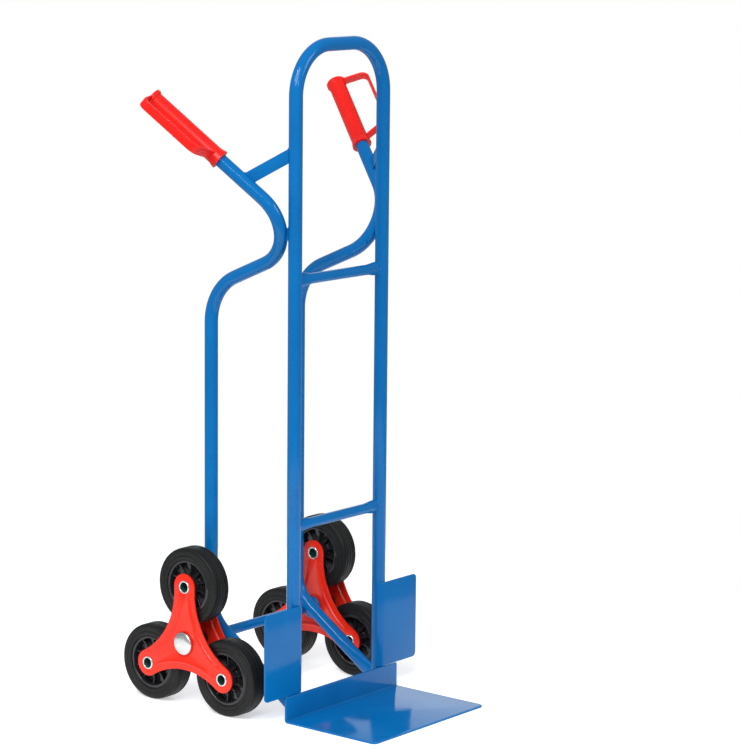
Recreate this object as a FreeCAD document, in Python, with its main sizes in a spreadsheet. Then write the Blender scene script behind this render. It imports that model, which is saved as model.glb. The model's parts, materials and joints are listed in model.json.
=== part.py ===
import FreeCAD, Part

import math
import os

import Sketcher
from FreeCAD import Placement, Rotation, Vector

# A stair-climbing sack truck: a bent tube back frame with a folded toe plate, two
# swept-back handles with safety grips, and a three-wheel star on each end of the axle.
# X is the width, the toe plate points to -Y, Z is up and the floor is Z = 0.

X_AXIS = Vector(1, 0, 0)
Y_AXIS = Vector(0, 1, 0)
Z_AXIS = Vector(0, 0, 1)
SIDES = {"left": -1, "right": 1}
ARMS = {"top": 90, "front": 210, "rear": 330}
RIB_COUNT = 10

doc = FreeCAD.newDocument("stair_truck")


# ---------------------------------------------------------------- sizes
# Each line is an alias, its value or formula in millimetres or degrees, and what it is.

SIZES = [
    ("overall_height", "1300", "floor to the top of the back frame"),
    ("upright_spacing", "260", "between the centres of the two uprights"),
    ("upright_diameter", "26.5", "tube of the back frame"),
    ("tube_wall", "2", "wall of every bent tube"),
    ("upright_foot", "3", "height of the open lower ends above the floor"),
    ("crossbar_diameter", "20", "both cross tubes of the back frame"),
    ("lower_crossbar_height", "376", "centre of the lower cross tube"),
    ("toe_overhang", "40", "toe plate beyond the centre of each upright"),
    ("toe_reach", "235", "front edge of the toe plate to the upright centres"),
    ("toe_thickness", "4", "toe plate steel"),
    ("toe_flange_height", "51", "upstand welded to the uprights"),
    ("toe_corner_radius", "10", "front corners of the toe plate"),
    ("guard_overhang", "101", "outer edge of a wheel guard from the centre of its upright"),
    ("guard_thickness", "3", "wheel guard steel"),
    ("guard_height", "170", "wheel guard, top to bottom"),
    ("guard_corner_radius", "9", "outer corners of a wheel guard"),
    ("guard_wrap_angle", "62", "how far the guard wraps round its upright"),
    ("handle_diameter", "26", "tube of the two handles"),
    ("handle_slope_rise", "125", "rise of the sloping run of a handle"),
    ("handle_knee_radius", "78", "bend between the sloping and vertical runs"),
    ("handle_shoulder_radius", "100", "bend at the top of the vertical run"),
    ("handle_nose_overlap", "65.25", "nose corner ahead of where the two tubes would touch"),
    ("handle_nose_radius", "85", "bend at that corner"),
    ("handle_flare", "142", "grip end beyond the centre of its upright"),
    ("handle_end_setback", "236", "grip end behind the uprights"),
    ("link_height", "24", "plate that joins a handle to its upright"),
    ("link_thickness", "6", "the same plate, across"),
    ("brace_width", "24", "flat bar from upright to handle"),
    ("brace_thickness", "5", "the same bar"),
    ("brace_run", "171", "nose corner to the brace, measured along the grip run"),
    ("grip_length", "177", "hand grip sleeve, end to end"),
    ("grip_wall", "4", "thickness of the sleeve and of its closed end"),
    ("grip_collar_length", "10", "collar at each end of the sleeve"),
    ("finger_gap", "44.75", "clear depth between the sleeve and the knuckle guard"),
    ("knuckle_width", "18", "knuckle guard strip"),
    ("knuckle_thickness", "4.5", "knuckle guard strip"),
    ("knuckle_run", "136", "straight part of the knuckle guard"),
    ("knuckle_root", "160", "where the lower arm meets the sleeve"),
    ("knuckle_bend_radius", "14", "outer bends of the knuckle guard"),
    ("left_grip_turn", "16", "how far the left grip is turned upwards"),
    ("right_grip_turn", "42", "how far the right grip is turned upwards"),
    ("wheel_radius", "75", "solid rubber tyre"),
    ("tyre_width", "40", "tyre, across"),
    ("tyre_depth", "22", "rubber between the rim and the tread"),
    ("rim_wall", "6", "barrel of the rim"),
    ("rim_web", "4", "disc between barrel and hub"),
    ("rib_thickness", "2.4", "each radial rib of the rim"),
    ("rib_width", "26", "each radial rib, across"),
    ("bush_wall", "3", "nylon bush in each hub"),
    ("wheel_gap", "43.124", "clear distance between the treads of two wheels of a star"),
    ("wheel_axle_radius", "11", "hollow riveted axle of each wheel"),
    ("rivet_flange", "1.6", "thickness of a rolled-over axle end"),
    ("running_clearance", "0.08", "radial play of a bush on its axle"),
    ("side_play", "0.5", "end play of a turning piece"),
    ("wheel_clearance", "12.5", "upright centre to the tread of a wheel that swings past"),
    ("star_clearance", "22.5", "handle tube to the inner plate of a star"),
    ("star_plate_thickness", "3", "pressed star plate"),
    ("star_waist", "53", "star centre to the middle of a hollow side"),
    ("star_bush_wall", "6", "bush that carries a star on the axle"),
    ("axle_radius", "8", "solid axle through the whole truck"),
    ("axle_tube_wall", "1.9", "cross tube that holds the axle"),
    ("axle_fit", "0.1", "radial gap between the axle and its tube"),
    ("boss_length", "8", "thrust boss at each end of the axle tube"),
    ("washer_thickness", "2", "washer between boss and star"),
    ("cap_height", "9", "how far an axle cap stands proud"),
    ("cap_wall", "1.5", "cap steel"),
    # worked out from the sizes above
    ("upright_radius", "=upright_diameter / 2", ""),
    ("upright_offset", "=upright_spacing / 2", ""),
    ("top_bend_radius", "=upright_offset - 35", "centre line radius of the two top corners"),
    ("handle_radius", "=handle_diameter / 2", ""),
    ("crossbar_radius", "=crossbar_diameter / 2", ""),
    ("upper_crossbar_height", "=overall_height - 452", "centre of the upper cross tube"),
    ("toe_width", "=upright_spacing + 2 * toe_overhang", ""),
    ("toe_bend_radius", "=toe_thickness + 2", "outside radius of the fold"),
    ("guard_outer_reach", "=upright_offset + guard_overhang", ""),
    ("guard_lift", "=toe_flange_height + 1", "lower edge of a wheel guard"),
    ("guard_radius", "=upright_radius + guard_thickness", ""),
    ("rim_radius", "=wheel_radius - tyre_depth", "tyre seat"),
    ("rim_width", "=tyre_width - 2", "barrel of the rim, across"),
    ("wheel_axle_bore", "=wheel_axle_radius - 1.5", "its open bore"),
    ("rivet_flange_radius", "=wheel_axle_radius + 2", "its rolled-over ends"),
    ("wheel_bush_radius", "=wheel_axle_radius + running_clearance + bush_wall", ""),
    ("rim_hub_radius", "=wheel_bush_radius + 5.92", "hub of the rim"),
    ("star_arm", "=(2 * wheel_radius + wheel_gap) / (2 * cos(30deg))",
     "star centre to a wheel centre"),
    ("star_tip_radius", "=rivet_flange_radius + 13", "rounded end of a star arm"),
    ("star_setback", "=star_arm + wheel_radius + wheel_clearance",
     "star axle behind the uprights"),
    ("star_plate_spacing", "=tyre_width + 10 + star_plate_thickness",
     "middle to middle of the two plates of a star"),
    ("star_inner_face", "=upright_offset + handle_radius + star_clearance", ""),
    ("star_plate_reach", "=star_inner_face + star_plate_spacing + star_plate_thickness / 2",
     "middle of the outer star plate from the centre line"),
    ("star_middle", "=star_plate_reach - star_plate_spacing / 2", ""),
    ("star_outer_face", "=star_plate_reach + star_plate_thickness / 2", ""),
    ("star_gap", "=star_plate_spacing - star_plate_thickness", "clear width between the plates"),
    ("star_side", "=(star_arm ^ 2 - (star_waist - star_tip_radius) ^ 2)"
     " / (star_arm - 2 * (star_waist - star_tip_radius))",
     "star centre to the centre of a hollow side's arc"),
    ("star_side_radius", "=star_side - star_waist", ""),
    ("star_bush_radius", "=axle_radius + running_clearance + star_bush_wall", ""),
    ("axle_height", "=wheel_radius + star_arm / 2", "both lower wheels stand on the floor"),
    ("upright_y", "=(toe_reach - star_setback - star_arm * cos(30deg) - wheel_radius) / 2",
     "puts the origin under the middle of the truck"),
    ("axle_y", "=upright_y + star_setback", ""),
    ("axle_tube_radius", "=axle_radius + axle_fit + axle_tube_wall", ""),
    ("boss_radius", "=axle_tube_radius + 13", ""),
    ("washer_radius", "=axle_tube_radius + 8", ""),
    ("cap_radius", "=star_bush_radius + 8.42", "push-on cap over the axle end"),
    ("washer_face", "=star_inner_face - side_play", ""),
    ("boss_face", "=washer_face - washer_thickness", ""),
    ("cap_face", "=star_outer_face + side_play", ""),
    ("handle_setback", "=star_setback + 12", "vertical run of a handle behind the uprights"),
    ("handle_knee_height", "=axle_height + (axle_tube_radius + handle_radius) * 1.21 + 6.42",
     "corner between the sloping and vertical runs, clear of the axle tube"),
    ("handle_foot_height", "=handle_knee_height - handle_slope_rise * (handle_setback"
     " - upright_diameter) / 184.5", "lower end of a handle tube"),
    ("handle_shoulder_height", "=overall_height - 485",
     "corner at the top of the vertical run"),
    ("handle_nose_reach", "=upright_radius + handle_radius - handle_nose_overlap",
     "where the forward run would meet the grip run"),
    ("handle_nose_height", "=overall_height - 376", "corner between forward and grip run"),
    ("handle_end_spread", "=upright_offset + handle_flare", "grip end from the middle"),
    ("handle_end_height", "=overall_height - 112", "grip end above the floor"),
    ("brace_height", "=overall_height - 210", "upper end of the brace on the upright"),
    ("grip_radius", "=handle_radius + grip_wall", "hand grip sleeve"),
    ("grip_end_wall", "=grip_wall", "closed outer end of the sleeve"),
    ("grip_collar_radius", "=grip_radius + 3", "collar at each end of the sleeve"),
    ("knuckle_reach", "=grip_radius + finger_gap + knuckle_thickness / 2",
     "grip axis to the middle of the knuckle guard"),
]


def fill_sheet():
    """Write every size into the sheet under its own alias."""
    table = doc.addObject("Spreadsheet::Sheet", "sizes")
    for row, (alias, value, note) in enumerate(SIZES, start=1):
        table.set(f"A{row}", alias)
        table.set(f"B{row}", value)
        table.set(f"C{row}", note)
        table.setAlias(f"B{row}", alias)
    doc.recompute()
    return table


sheet = fill_sheet()


def size(alias):
    """A size read back from the sheet, as a plain number."""
    value = getattr(sheet, alias)
    return float(getattr(value, "Value", value))


def bind(item, **formulas):
    """Tie properties of an object to formulas over the sheet's aliases."""
    for key, formula in formulas.items():
        item.setExpression(key.replace("__", "."), in_sheet(formula))


def in_sheet(formula):
    """The same formula with each alias led by the sheet's name."""
    words = []
    word = ""
    for letter in formula + " ":
        if letter.isalnum() or letter == "_":
            word += letter
            continue
        words.append("sizes." + word if word in ALIASES else word)
        words.append(letter)
        word = ""
    return "".join(words).strip()


ALIASES = {alias for alias, value, note in SIZES}


# ---------------------------------------------------------------- ways of making a piece

def origin_plane(body, role):
    """One of a body's own origin planes."""
    for feature in body.Origin.OriginFeatures:
        if feature.Role == role:
            return feature
    raise ValueError(role)


def new_body(label):
    body = doc.addObject("PartDesign::Body", label)
    body.Label = label
    return body


def new_sketch(body, name, role):
    sketch = body.newObject("Sketcher::SketchObject", name)
    sketch.AttachmentSupport = [(origin_plane(body, role), "")]
    sketch.MapMode = "FlatFace"
    return sketch


def fix(sketch, kind, *where, formula):
    """Add a dimension to a sketch and tie it to a formula."""
    value = evaluate(formula)
    index = sketch.addConstraint(Sketcher.Constraint(kind, *where, value))
    sketch.setExpression(f"Constraints[{index}]", in_sheet(formula))


def evaluate(formula):
    """The value of a formula over the sheet's aliases."""
    value = doc.sizes.evalExpression(formula)
    return float(getattr(value, "Value", value))


def outline(sketch, corners):
    """Draw a closed outline whose corners are pairs of formulas."""
    places = [Vector(evaluate(across), evaluate(up), 0) for across, up in corners]
    first = sketch.GeometryCount
    count = len(corners)
    for index in range(count):
        sketch.addGeometry(Part.LineSegment(places[index], places[(index + 1) % count]), False)
    for index, (across, up) in enumerate(corners):
        this = first + index
        before = first + (index - 1) % count
        sketch.addConstraint(Sketcher.Constraint("Coincident", before, 2, this, 1))
        fix(sketch, "DistanceX", -1, 1, this, 1, formula=across)
        fix(sketch, "DistanceY", -1, 1, this, 1, formula=up)


def turned(label, corners):
    """A body turned about X: each corner is a place along the axis and a radius."""
    body = new_body(label)
    sketch = new_sketch(body, "profile", "XY_Plane")
    outline(sketch, corners)
    turn = body.newObject("PartDesign::Revolution", "turn")
    turn.Profile = sketch
    turn.ReferenceAxis = (sketch, ["H_Axis"])
    turn.Angle = 360
    sketch.Visibility = False
    return body


def padded(label, role, corners, length, midplane=False):
    """A body pushed out from an outline on one of its origin planes."""
    body = new_body(label)
    sketch = new_sketch(body, "profile", role)
    outline(sketch, corners)
    pad = body.newObject("PartDesign::Pad", "thickness")
    pad.Profile = sketch
    bind(pad, Length=length)
    pad.Midplane = midplane
    sketch.Visibility = False
    return body


def rounded(body, name, radius, wanted):
    """Round the edges of a body's last feature whose middle passes a test."""
    doc.recompute()
    tip = body.Tip
    edges = []
    for index, edge in enumerate(tip.Shape.Edges, start=1):
        middle = edge.valueAt((edge.FirstParameter + edge.LastParameter) / 2)
        if wanted(middle, edge):
            edges.append(f"Edge{index}")
    fillet = body.newObject("PartDesign::Fillet", name)
    fillet.Base = (tip, edges)
    bind(fillet, Radius=radius)
    return fillet


def ring(label, outer, inner, length):
    """A turned sleeve centred on its own middle."""
    half = f"({length}) / 2"
    corners = [(f"-{half}", inner), (half, inner), (half, outer), (f"-{half}", outer)]
    return turned(label, corners)


def place(item, across, along, up, turn=None):
    """Put an object down at three formulas, turned by a fixed rotation."""
    item.Placement = Placement(Vector(), turn or Rotation())
    bind(item, Placement__Base__x=across, Placement__Base__y=along, Placement__Base__z=up)


def facing(side):
    """Outboard is +X on the right and -X on the left."""
    return Rotation(Z_AXIS, 0 if side > 0 else 180)


def signed(side, formula):
    return f"{side} * ({formula})"


def runs_and_bends(corners, radii):
    """A wire of straight runs joined by tangent arcs."""
    edges = []
    start = corners[0]
    for before, corner, after, radius in zip(corners, corners[1:], corners[2:], radii):
        back = (before - corner).normalize()
        ahead = (after - corner).normalize()
        half_angle = back.getAngle(ahead) / 2
        leave = corner + back * (radius / math.tan(half_angle))
        join = corner + ahead * (radius / math.tan(half_angle))
        middle_way = (back + ahead).normalize()
        middle = corner + middle_way * (radius / math.sin(half_angle) - radius)
        edges.append(Part.LineSegment(start, leave).toShape())
        edges.append(Part.Arc(leave, middle, join).toShape())
        start = join
    edges.append(Part.LineSegment(start, corners[-1]).toShape())
    return Part.Wire(edges)


def swept_bar(wire, radius):
    """A round bar along a wire."""
    start = wire.Edges[0].valueAt(wire.Edges[0].FirstParameter)
    heading = wire.Edges[0].tangentAt(wire.Edges[0].FirstParameter)
    circle = Part.Wire(Part.makeCircle(radius, start, heading))
    return wire.makePipeShell([circle], True, True)


def swept_tube(wire, radius, wall):
    """A hollow tube along a wire."""
    return swept_bar(wire, radius).cut(swept_bar(wire, radius - wall))


# ---------------------------------------------------------------- back frame

def main_tube():
    """The inverted U of the back frame, swept along its centre line."""
    body = new_body("main_tube")
    route = new_sketch(body, "route", "XZ_Plane")
    offset = size("upright_offset")
    top = size("overall_height") - size("upright_radius")
    radius = size("top_bend_radius")
    foot = size("upright_foot")
    level = top - radius
    inside = offset - radius
    route.addGeometry(Part.LineSegment(Vector(-offset, foot, 0), Vector(-offset, level, 0)))
    left_bend = Part.Circle(Vector(-inside, level, 0), Z_AXIS, radius)
    route.addGeometry(Part.ArcOfCircle(left_bend, math.pi / 2, math.pi))
    route.addGeometry(Part.LineSegment(Vector(-inside, top, 0), Vector(inside, top, 0)))
    right_bend = Part.Circle(Vector(inside, level, 0), Z_AXIS, radius)
    route.addGeometry(Part.ArcOfCircle(right_bend, 0, math.pi / 2))
    route.addGeometry(Part.LineSegment(Vector(offset, level, 0), Vector(offset, foot, 0)))
    for first, first_end, second, second_end in ((0, 2, 1, 2), (1, 1, 2, 1), (2, 2, 3, 2), (3, 1, 4, 1)):
        route.addConstraint(Sketcher.Constraint("Tangent", first, first_end, second, second_end))
    route.addConstraint(Sketcher.Constraint("Vertical", 0))
    route.addConstraint(Sketcher.Constraint("Horizontal", 2))
    route.addConstraint(Sketcher.Constraint("Equal", 1, 3))
    fix(route, "DistanceX", 0, 1, -1, 1, formula="upright_offset")
    fix(route, "DistanceX", -1, 1, 4, 2, formula="upright_offset")
    fix(route, "DistanceY", -1, 1, 0, 1, formula="upright_foot")
    fix(route, "DistanceY", -1, 1, 4, 2, formula="upright_foot")
    fix(route, "DistanceY", -1, 1, 2, 1, formula="overall_height - upright_radius")
    fix(route, "Radius", 1, formula="top_bend_radius")
    section = new_sketch(body, "section", "XY_Plane")
    section.AttachmentOffset = Placement(Vector(-offset, 0, foot), Rotation())
    bind(section, AttachmentOffset__Base__x="-upright_offset", AttachmentOffset__Base__z="upright_foot")
    for index, formula in enumerate(("upright_radius", "upright_radius - tube_wall")):
        section.addGeometry(Part.Circle(Vector(), Z_AXIS, evaluate(formula)))
        section.addConstraint(Sketcher.Constraint("Coincident", index, 3, -1, 1))
        fix(section, "Radius", index, formula=formula)
    pipe = body.newObject("PartDesign::AdditivePipe", "bent_tube")
    pipe.Profile = section
    pipe.Spine = (route, [f"Edge{index}" for index in range(1, 6)])
    pipe.Transition = "Transformed"
    place(body, "0", "upright_y", "0")
    return body


def upright_core(name, side):
    """The space that one upright fills, for coping what is welded to it."""
    core = doc.addObject("Part::Cylinder", name)
    bind(core, Radius="upright_radius", Height="overall_height")
    place(core, signed(side, "upright_offset"), "upright_y", "0")
    return core


def crossbar(label, height):
    """A cross tube between the uprights, coped to fit round them."""
    bar = ring(label + "_stock", "crossbar_radius", "crossbar_radius - tube_wall", "upright_spacing")
    place(bar, "0", "upright_y", height)
    cores = doc.addObject("Part::MultiFuse", label + "_uprights")
    cores.Shapes = [upright_core(f"{label}_{name}_core", side) for name, side in SIDES.items()]
    coped = doc.addObject("Part::Cut", label)
    coped.Label = label
    coped.Base = bar
    coped.Tool = cores
    return coped


def toe_plate():
    """Blade and upstand folded from one sheet."""
    face = "-upright_radius - toe_thickness"
    corners = [
        ("-toe_reach", "0"),
        ("-upright_radius", "0"),
        ("-upright_radius", "toe_flange_height"),
        (face, "toe_flange_height"),
        (face, "toe_thickness"),
        ("-toe_reach", "toe_thickness"),
    ]
    body = padded("toe_plate", "YZ_Plane", corners, "toe_width", midplane=True)
    place(body, "0", "upright_y", "0")
    front = -size("toe_reach")
    back = -size("upright_radius")
    inner = back - size("toe_thickness")
    side_edge = size("toe_width") / 2

    def at_front_corner(middle, edge):
        return abs(middle.y - front) < 0.1 and abs(abs(middle.x) - side_edge) < 0.1

    def at_outer_fold(middle, edge):
        return abs(middle.y - back) < 0.1 and abs(middle.z) < 0.1 and abs(middle.x) < 0.1

    def at_inner_fold(middle, edge):
        on_sheet = abs(middle.z - size("toe_thickness")) < 0.1
        return abs(middle.y - inner) < 0.1 and on_sheet and abs(middle.x) < 0.1

    rounded(body, "front_corners", "toe_corner_radius", at_front_corner)
    rounded(body, "outer_fold", "toe_bend_radius", at_outer_fold)
    rounded(body, "inner_fold", "toe_bend_radius - toe_thickness", at_inner_fold)
    return body


def wheel_guard(name, side):
    """A flat guard beside the toe plate, its inner edge wrapped round the upright."""
    label = f"{name}_wheel_guard"
    flat = doc.addObject("Part::Box", label + "_flat")
    bind(flat, Length="guard_outer_reach - upright_offset", Width="guard_thickness",
         Height="guard_height")
    start = "upright_offset" if side > 0 else "-guard_outer_reach"
    place(flat, start, "upright_y - guard_radius", "guard_lift")
    wrap = doc.addObject("Part::Cylinder", label + "_wrap")
    bind(wrap, Radius="guard_radius", Height="guard_height", Angle="guard_wrap_angle")
    start_angle = 270 - size("guard_wrap_angle") if side > 0 else 270
    place(wrap, signed(side, "upright_offset"), "upright_y", "guard_lift", Rotation(Z_AXIS, start_angle))
    if side > 0:
        bind(wrap, Placement__Rotation__Angle="270deg - guard_wrap_angle * 1deg")
    core = upright_core(label + "_core", side)
    hook = doc.addObject("Part::Cut", label + "_hook")
    hook.Base = wrap
    hook.Tool = core
    blank = doc.addObject("Part::Fuse", label + "_blank")
    blank.Base = flat
    blank.Tool = hook
    blank.Refine = True
    doc.recompute()
    corners = []
    for index, edge in enumerate(blank.Shape.Edges, start=1):
        middle = edge.valueAt((edge.FirstParameter + edge.LastParameter) / 2)
        along_y = abs(edge.tangentAt(edge.FirstParameter).y) > 0.99
        if along_y and abs(abs(middle.x) - size("guard_outer_reach")) < 0.1:
            corners.append((index, size("guard_corner_radius"), size("guard_corner_radius")))
    guard = doc.addObject("Part::Fillet", label)
    guard.Label = label
    guard.Base = blank
    guard.Edges = corners
    return guard


# ---------------------------------------------------------------- handles and grips

def handle_corners(side):
    """Corners of a handle's centre line, from its foot to its grip end."""
    across = side * size("upright_offset")
    middle = size("upright_y")
    back = middle + size("handle_setback")
    return [
        Vector(across, middle + size("upright_radius") / 2, foot_start()),
        Vector(across, back, size("handle_knee_height")),
        Vector(across, back, size("handle_shoulder_height")),
        Vector(across, middle + size("handle_nose_reach"), size("handle_nose_height")),
        grip_end(side),
    ]


def foot_start():
    """Height at which the sloping run starts, half way into the upright."""
    slope = (size("handle_knee_height") - size("handle_foot_height"))
    slope /= size("handle_setback") - size("upright_diameter")
    return size("handle_foot_height") - slope * size("upright_radius") / 2


def grip_end(side):
    return Vector(side * size("handle_end_spread"), size("upright_y") + size("handle_end_setback"),
                  size("handle_end_height"))


def grip_heading(side):
    """Unit vector along the grip, towards its closed end."""
    corners = handle_corners(side)
    return (corners[4] - corners[3]).normalize()


def handle_tube(name, side):
    """One long bent tube, coped to its upright at the foot."""
    radii = [size("handle_knee_radius"), size("handle_shoulder_radius"), size("handle_nose_radius")]
    corners = handle_corners(side)
    corners[4] = corners[4] - grip_heading(side) * size("grip_end_wall")
    tube = swept_tube(runs_and_bends(corners, radii), size("handle_radius"), size("tube_wall"))
    upright = Part.makeCylinder(size("upright_radius"), size("handle_knee_height"),
                                Vector(corners[0].x, size("upright_y"), -1))
    handle = doc.addObject("Part::Feature", f"{name}_handle_tube")
    handle.Label = f"{name}_handle_tube"
    handle.Shape = tube.cut(upright)
    return handle


def axes_placement(origin, x_way, z_way):
    """A placement whose X and Z point along two square directions."""
    y_way = z_way.cross(x_way)
    turn = Rotation(x_way, y_way, z_way, "ZXY")
    return Placement(origin, turn)


def handle_link(name, side):
    """Small plate between the nose of a handle and its upright."""
    corners = handle_corners(side)
    radii = [size("handle_knee_radius"), size("handle_shoulder_radius"), size("handle_nose_radius")]
    wire = runs_and_bends(corners, radii)
    above_shoulder = Vector(corners[0].x, size("upright_y"), size("handle_shoulder_height"))
    below_grip = Vector(corners[0].x, size("upright_y"), size("handle_end_height"))
    axis = Part.LineSegment(above_shoulder, below_grip).toShape()
    distance, pairs, info = axis.distToShape(wire)
    on_upright, on_handle = pairs[0]
    way = (on_handle - on_upright).normalize()
    block = Part.makeBox(distance, size("link_thickness"), size("link_height"))
    block.translate(Vector(0, -size("link_thickness") / 2, -size("link_height") / 2))
    block.Placement = axes_placement(on_upright, way, Z_AXIS).multiply(block.Placement)
    handle_core = swept_bar(wire, size("handle_radius"))
    upright = Part.makeCylinder(size("upright_radius"), size("overall_height"),
                                Vector(corners[0].x, size("upright_y"), 0))
    link = doc.addObject("Part::Feature", f"{name}_handle_link")
    link.Label = f"{name}_handle_link"
    link.Shape = block.cut(upright).cut(handle_core)
    return link


def handle_brace(name, side):
    """Flat bar from the back of an upright to the grip run of its handle."""
    corners = handle_corners(side)
    start = Vector(corners[0].x, size("upright_y"), size("brace_height"))
    end = corners[3] + grip_heading(side) * size("brace_run")
    way = (end - start).normalize()
    flat = way.cross(Z_AXIS).normalize()
    length = (end - start).Length
    bar = Part.makeBox(length, size("brace_thickness"), size("brace_width"))
    bar.translate(Vector(0, -size("brace_thickness") / 2, -size("brace_width") / 2))
    bar.Placement = axes_placement(start, way, way.cross(flat) * -1).multiply(bar.Placement)
    upright = Part.makeCylinder(size("upright_radius"), size("overall_height"),
                                Vector(start.x, start.y, 0))
    run = Part.makeCylinder(size("handle_radius"), (corners[4] - corners[3]).Length, corners[3],
                            grip_heading(side))
    brace = doc.addObject("Part::Feature", f"{name}_handle_brace")
    brace.Label = f"{name}_handle_brace"
    brace.Shape = bar.cut(upright).cut(run)
    return brace


def grip(name, side):
    """Moulded sleeve with a flat knuckle guard bowed round the outside of the hand."""
    body = turned(f"{name}_grip", [
        ("-grip_length", "handle_radius"),
        ("-grip_end_wall", "handle_radius"),
        ("-grip_end_wall", "0"),
        ("0", "0"),
        ("0", "grip_collar_radius"),
        ("-grip_collar_length", "grip_collar_radius"),
        ("-grip_collar_length", "grip_radius"),
        ("grip_collar_length - grip_length", "grip_radius"),
        ("grip_collar_length / 2 - grip_length", "grip_collar_radius"),
        ("-grip_length", "grip_collar_radius"),
    ])
    doc.recompute()
    outer = "knuckle_reach + knuckle_thickness / 2"
    inner = "knuckle_reach - knuckle_thickness / 2"
    root = "(handle_radius + grip_radius) / 2"
    sketch = new_sketch(body, "knuckle_profile", "XY_Plane")
    outline(sketch, [
        ("-1", root),
        ("-1", outer),
        ("-knuckle_run", outer),
        ("-knuckle_root", root),
        ("-knuckle_root + knuckle_thickness * 1.5", root),
        ("-knuckle_run + knuckle_thickness * 0.5", inner),
        ("-1 - knuckle_thickness", inner),
        ("-1 - knuckle_thickness", root),
    ])
    pad = body.newObject("PartDesign::Pad", "knuckle_guard")
    pad.Profile = sketch
    bind(pad, Length="knuckle_width")
    pad.Midplane = True
    reach = size("knuckle_reach")
    thickness = size("knuckle_thickness")

    def at_outer_bend(middle, edge):
        return abs(middle.z) < 0.1 and abs(middle.y - reach - thickness / 2) < 0.1

    def at_inner_bend(middle, edge):
        return abs(middle.z) < 0.1 and abs(middle.y - reach + thickness / 2) < 0.1

    rounded(body, "outer_bends", "knuckle_bend_radius", at_outer_bend)
    rounded(body, "inner_bends", "knuckle_bend_radius - knuckle_thickness", at_inner_bend)
    heading = grip_heading(side)
    outboard = (X_AXIS * side - heading * (heading.x * side)).normalize()
    upward = outboard.cross(heading) * -side
    if upward.z < 0:
        upward = upward * -1
    turn = math.radians(size(f"{name}_grip_turn"))
    knuckle_way = outboard * math.cos(turn) + upward * math.sin(turn)
    third = heading.cross(knuckle_way)
    body.Placement = Placement(grip_end(side), Rotation(heading, knuckle_way, third, "ZXY"))
    return body


# ---------------------------------------------------------------- axle

def axle_pieces():
    """The solid axle, the tube that holds it, and the bosses, washers and caps."""
    tube = ring("axle_tube", "axle_tube_radius", "axle_radius + axle_fit", "2 * boss_face")
    place(tube, "0", "axle_y", "axle_height")
    rod = ring("axle_rod", "axle_radius", "0", "2 * (cap_face + cap_height / 2)")
    place(rod, "0", "axle_y", "axle_height")
    for name, side in SIDES.items():
        boss = turned(f"{name}_axle_boss", [
            ("0", "axle_tube_radius"),
            ("boss_length", "axle_tube_radius"),
            ("boss_length", "boss_radius"),
            ("boss_length * 0.4", "boss_radius"),
            ("0", "axle_tube_radius + boss_length / 2"),
        ])
        place(boss, signed(side, "boss_face - boss_length"), "axle_y", "axle_height", facing(side))
        washer = ring(f"{name}_thrust_washer", "washer_radius", "axle_radius", "washer_thickness")
        place(washer, signed(side, "washer_face - washer_thickness / 2"), "axle_y", "axle_height")
        cap = turned(f"{name}_axle_cap", [
            ("0", "cap_radius - cap_wall"),
            ("cap_wall * 2", "cap_radius - cap_wall"),
            ("cap_height - cap_wall * 2", "cap_radius * 0.72"),
            ("cap_height - cap_wall * 1.5", "axle_radius + cap_wall"),
            ("cap_wall", "axle_radius + cap_wall"),
            ("cap_wall", "axle_radius"),
            ("cap_height / 2 + cap_wall / 2", "axle_radius"),
            ("cap_height / 2 + cap_wall / 2", "0"),
            ("cap_height", "0"),
            ("cap_height * 0.94", "cap_radius * 0.4"),
            ("cap_height * 0.72", "cap_radius * 0.78"),
            ("cap_wall", "cap_radius"),
            ("0", "cap_radius"),
        ])
        place(cap, signed(side, "cap_face"), "axle_y", "axle_height", facing(side))


# ---------------------------------------------------------------- stars and wheels

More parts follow.
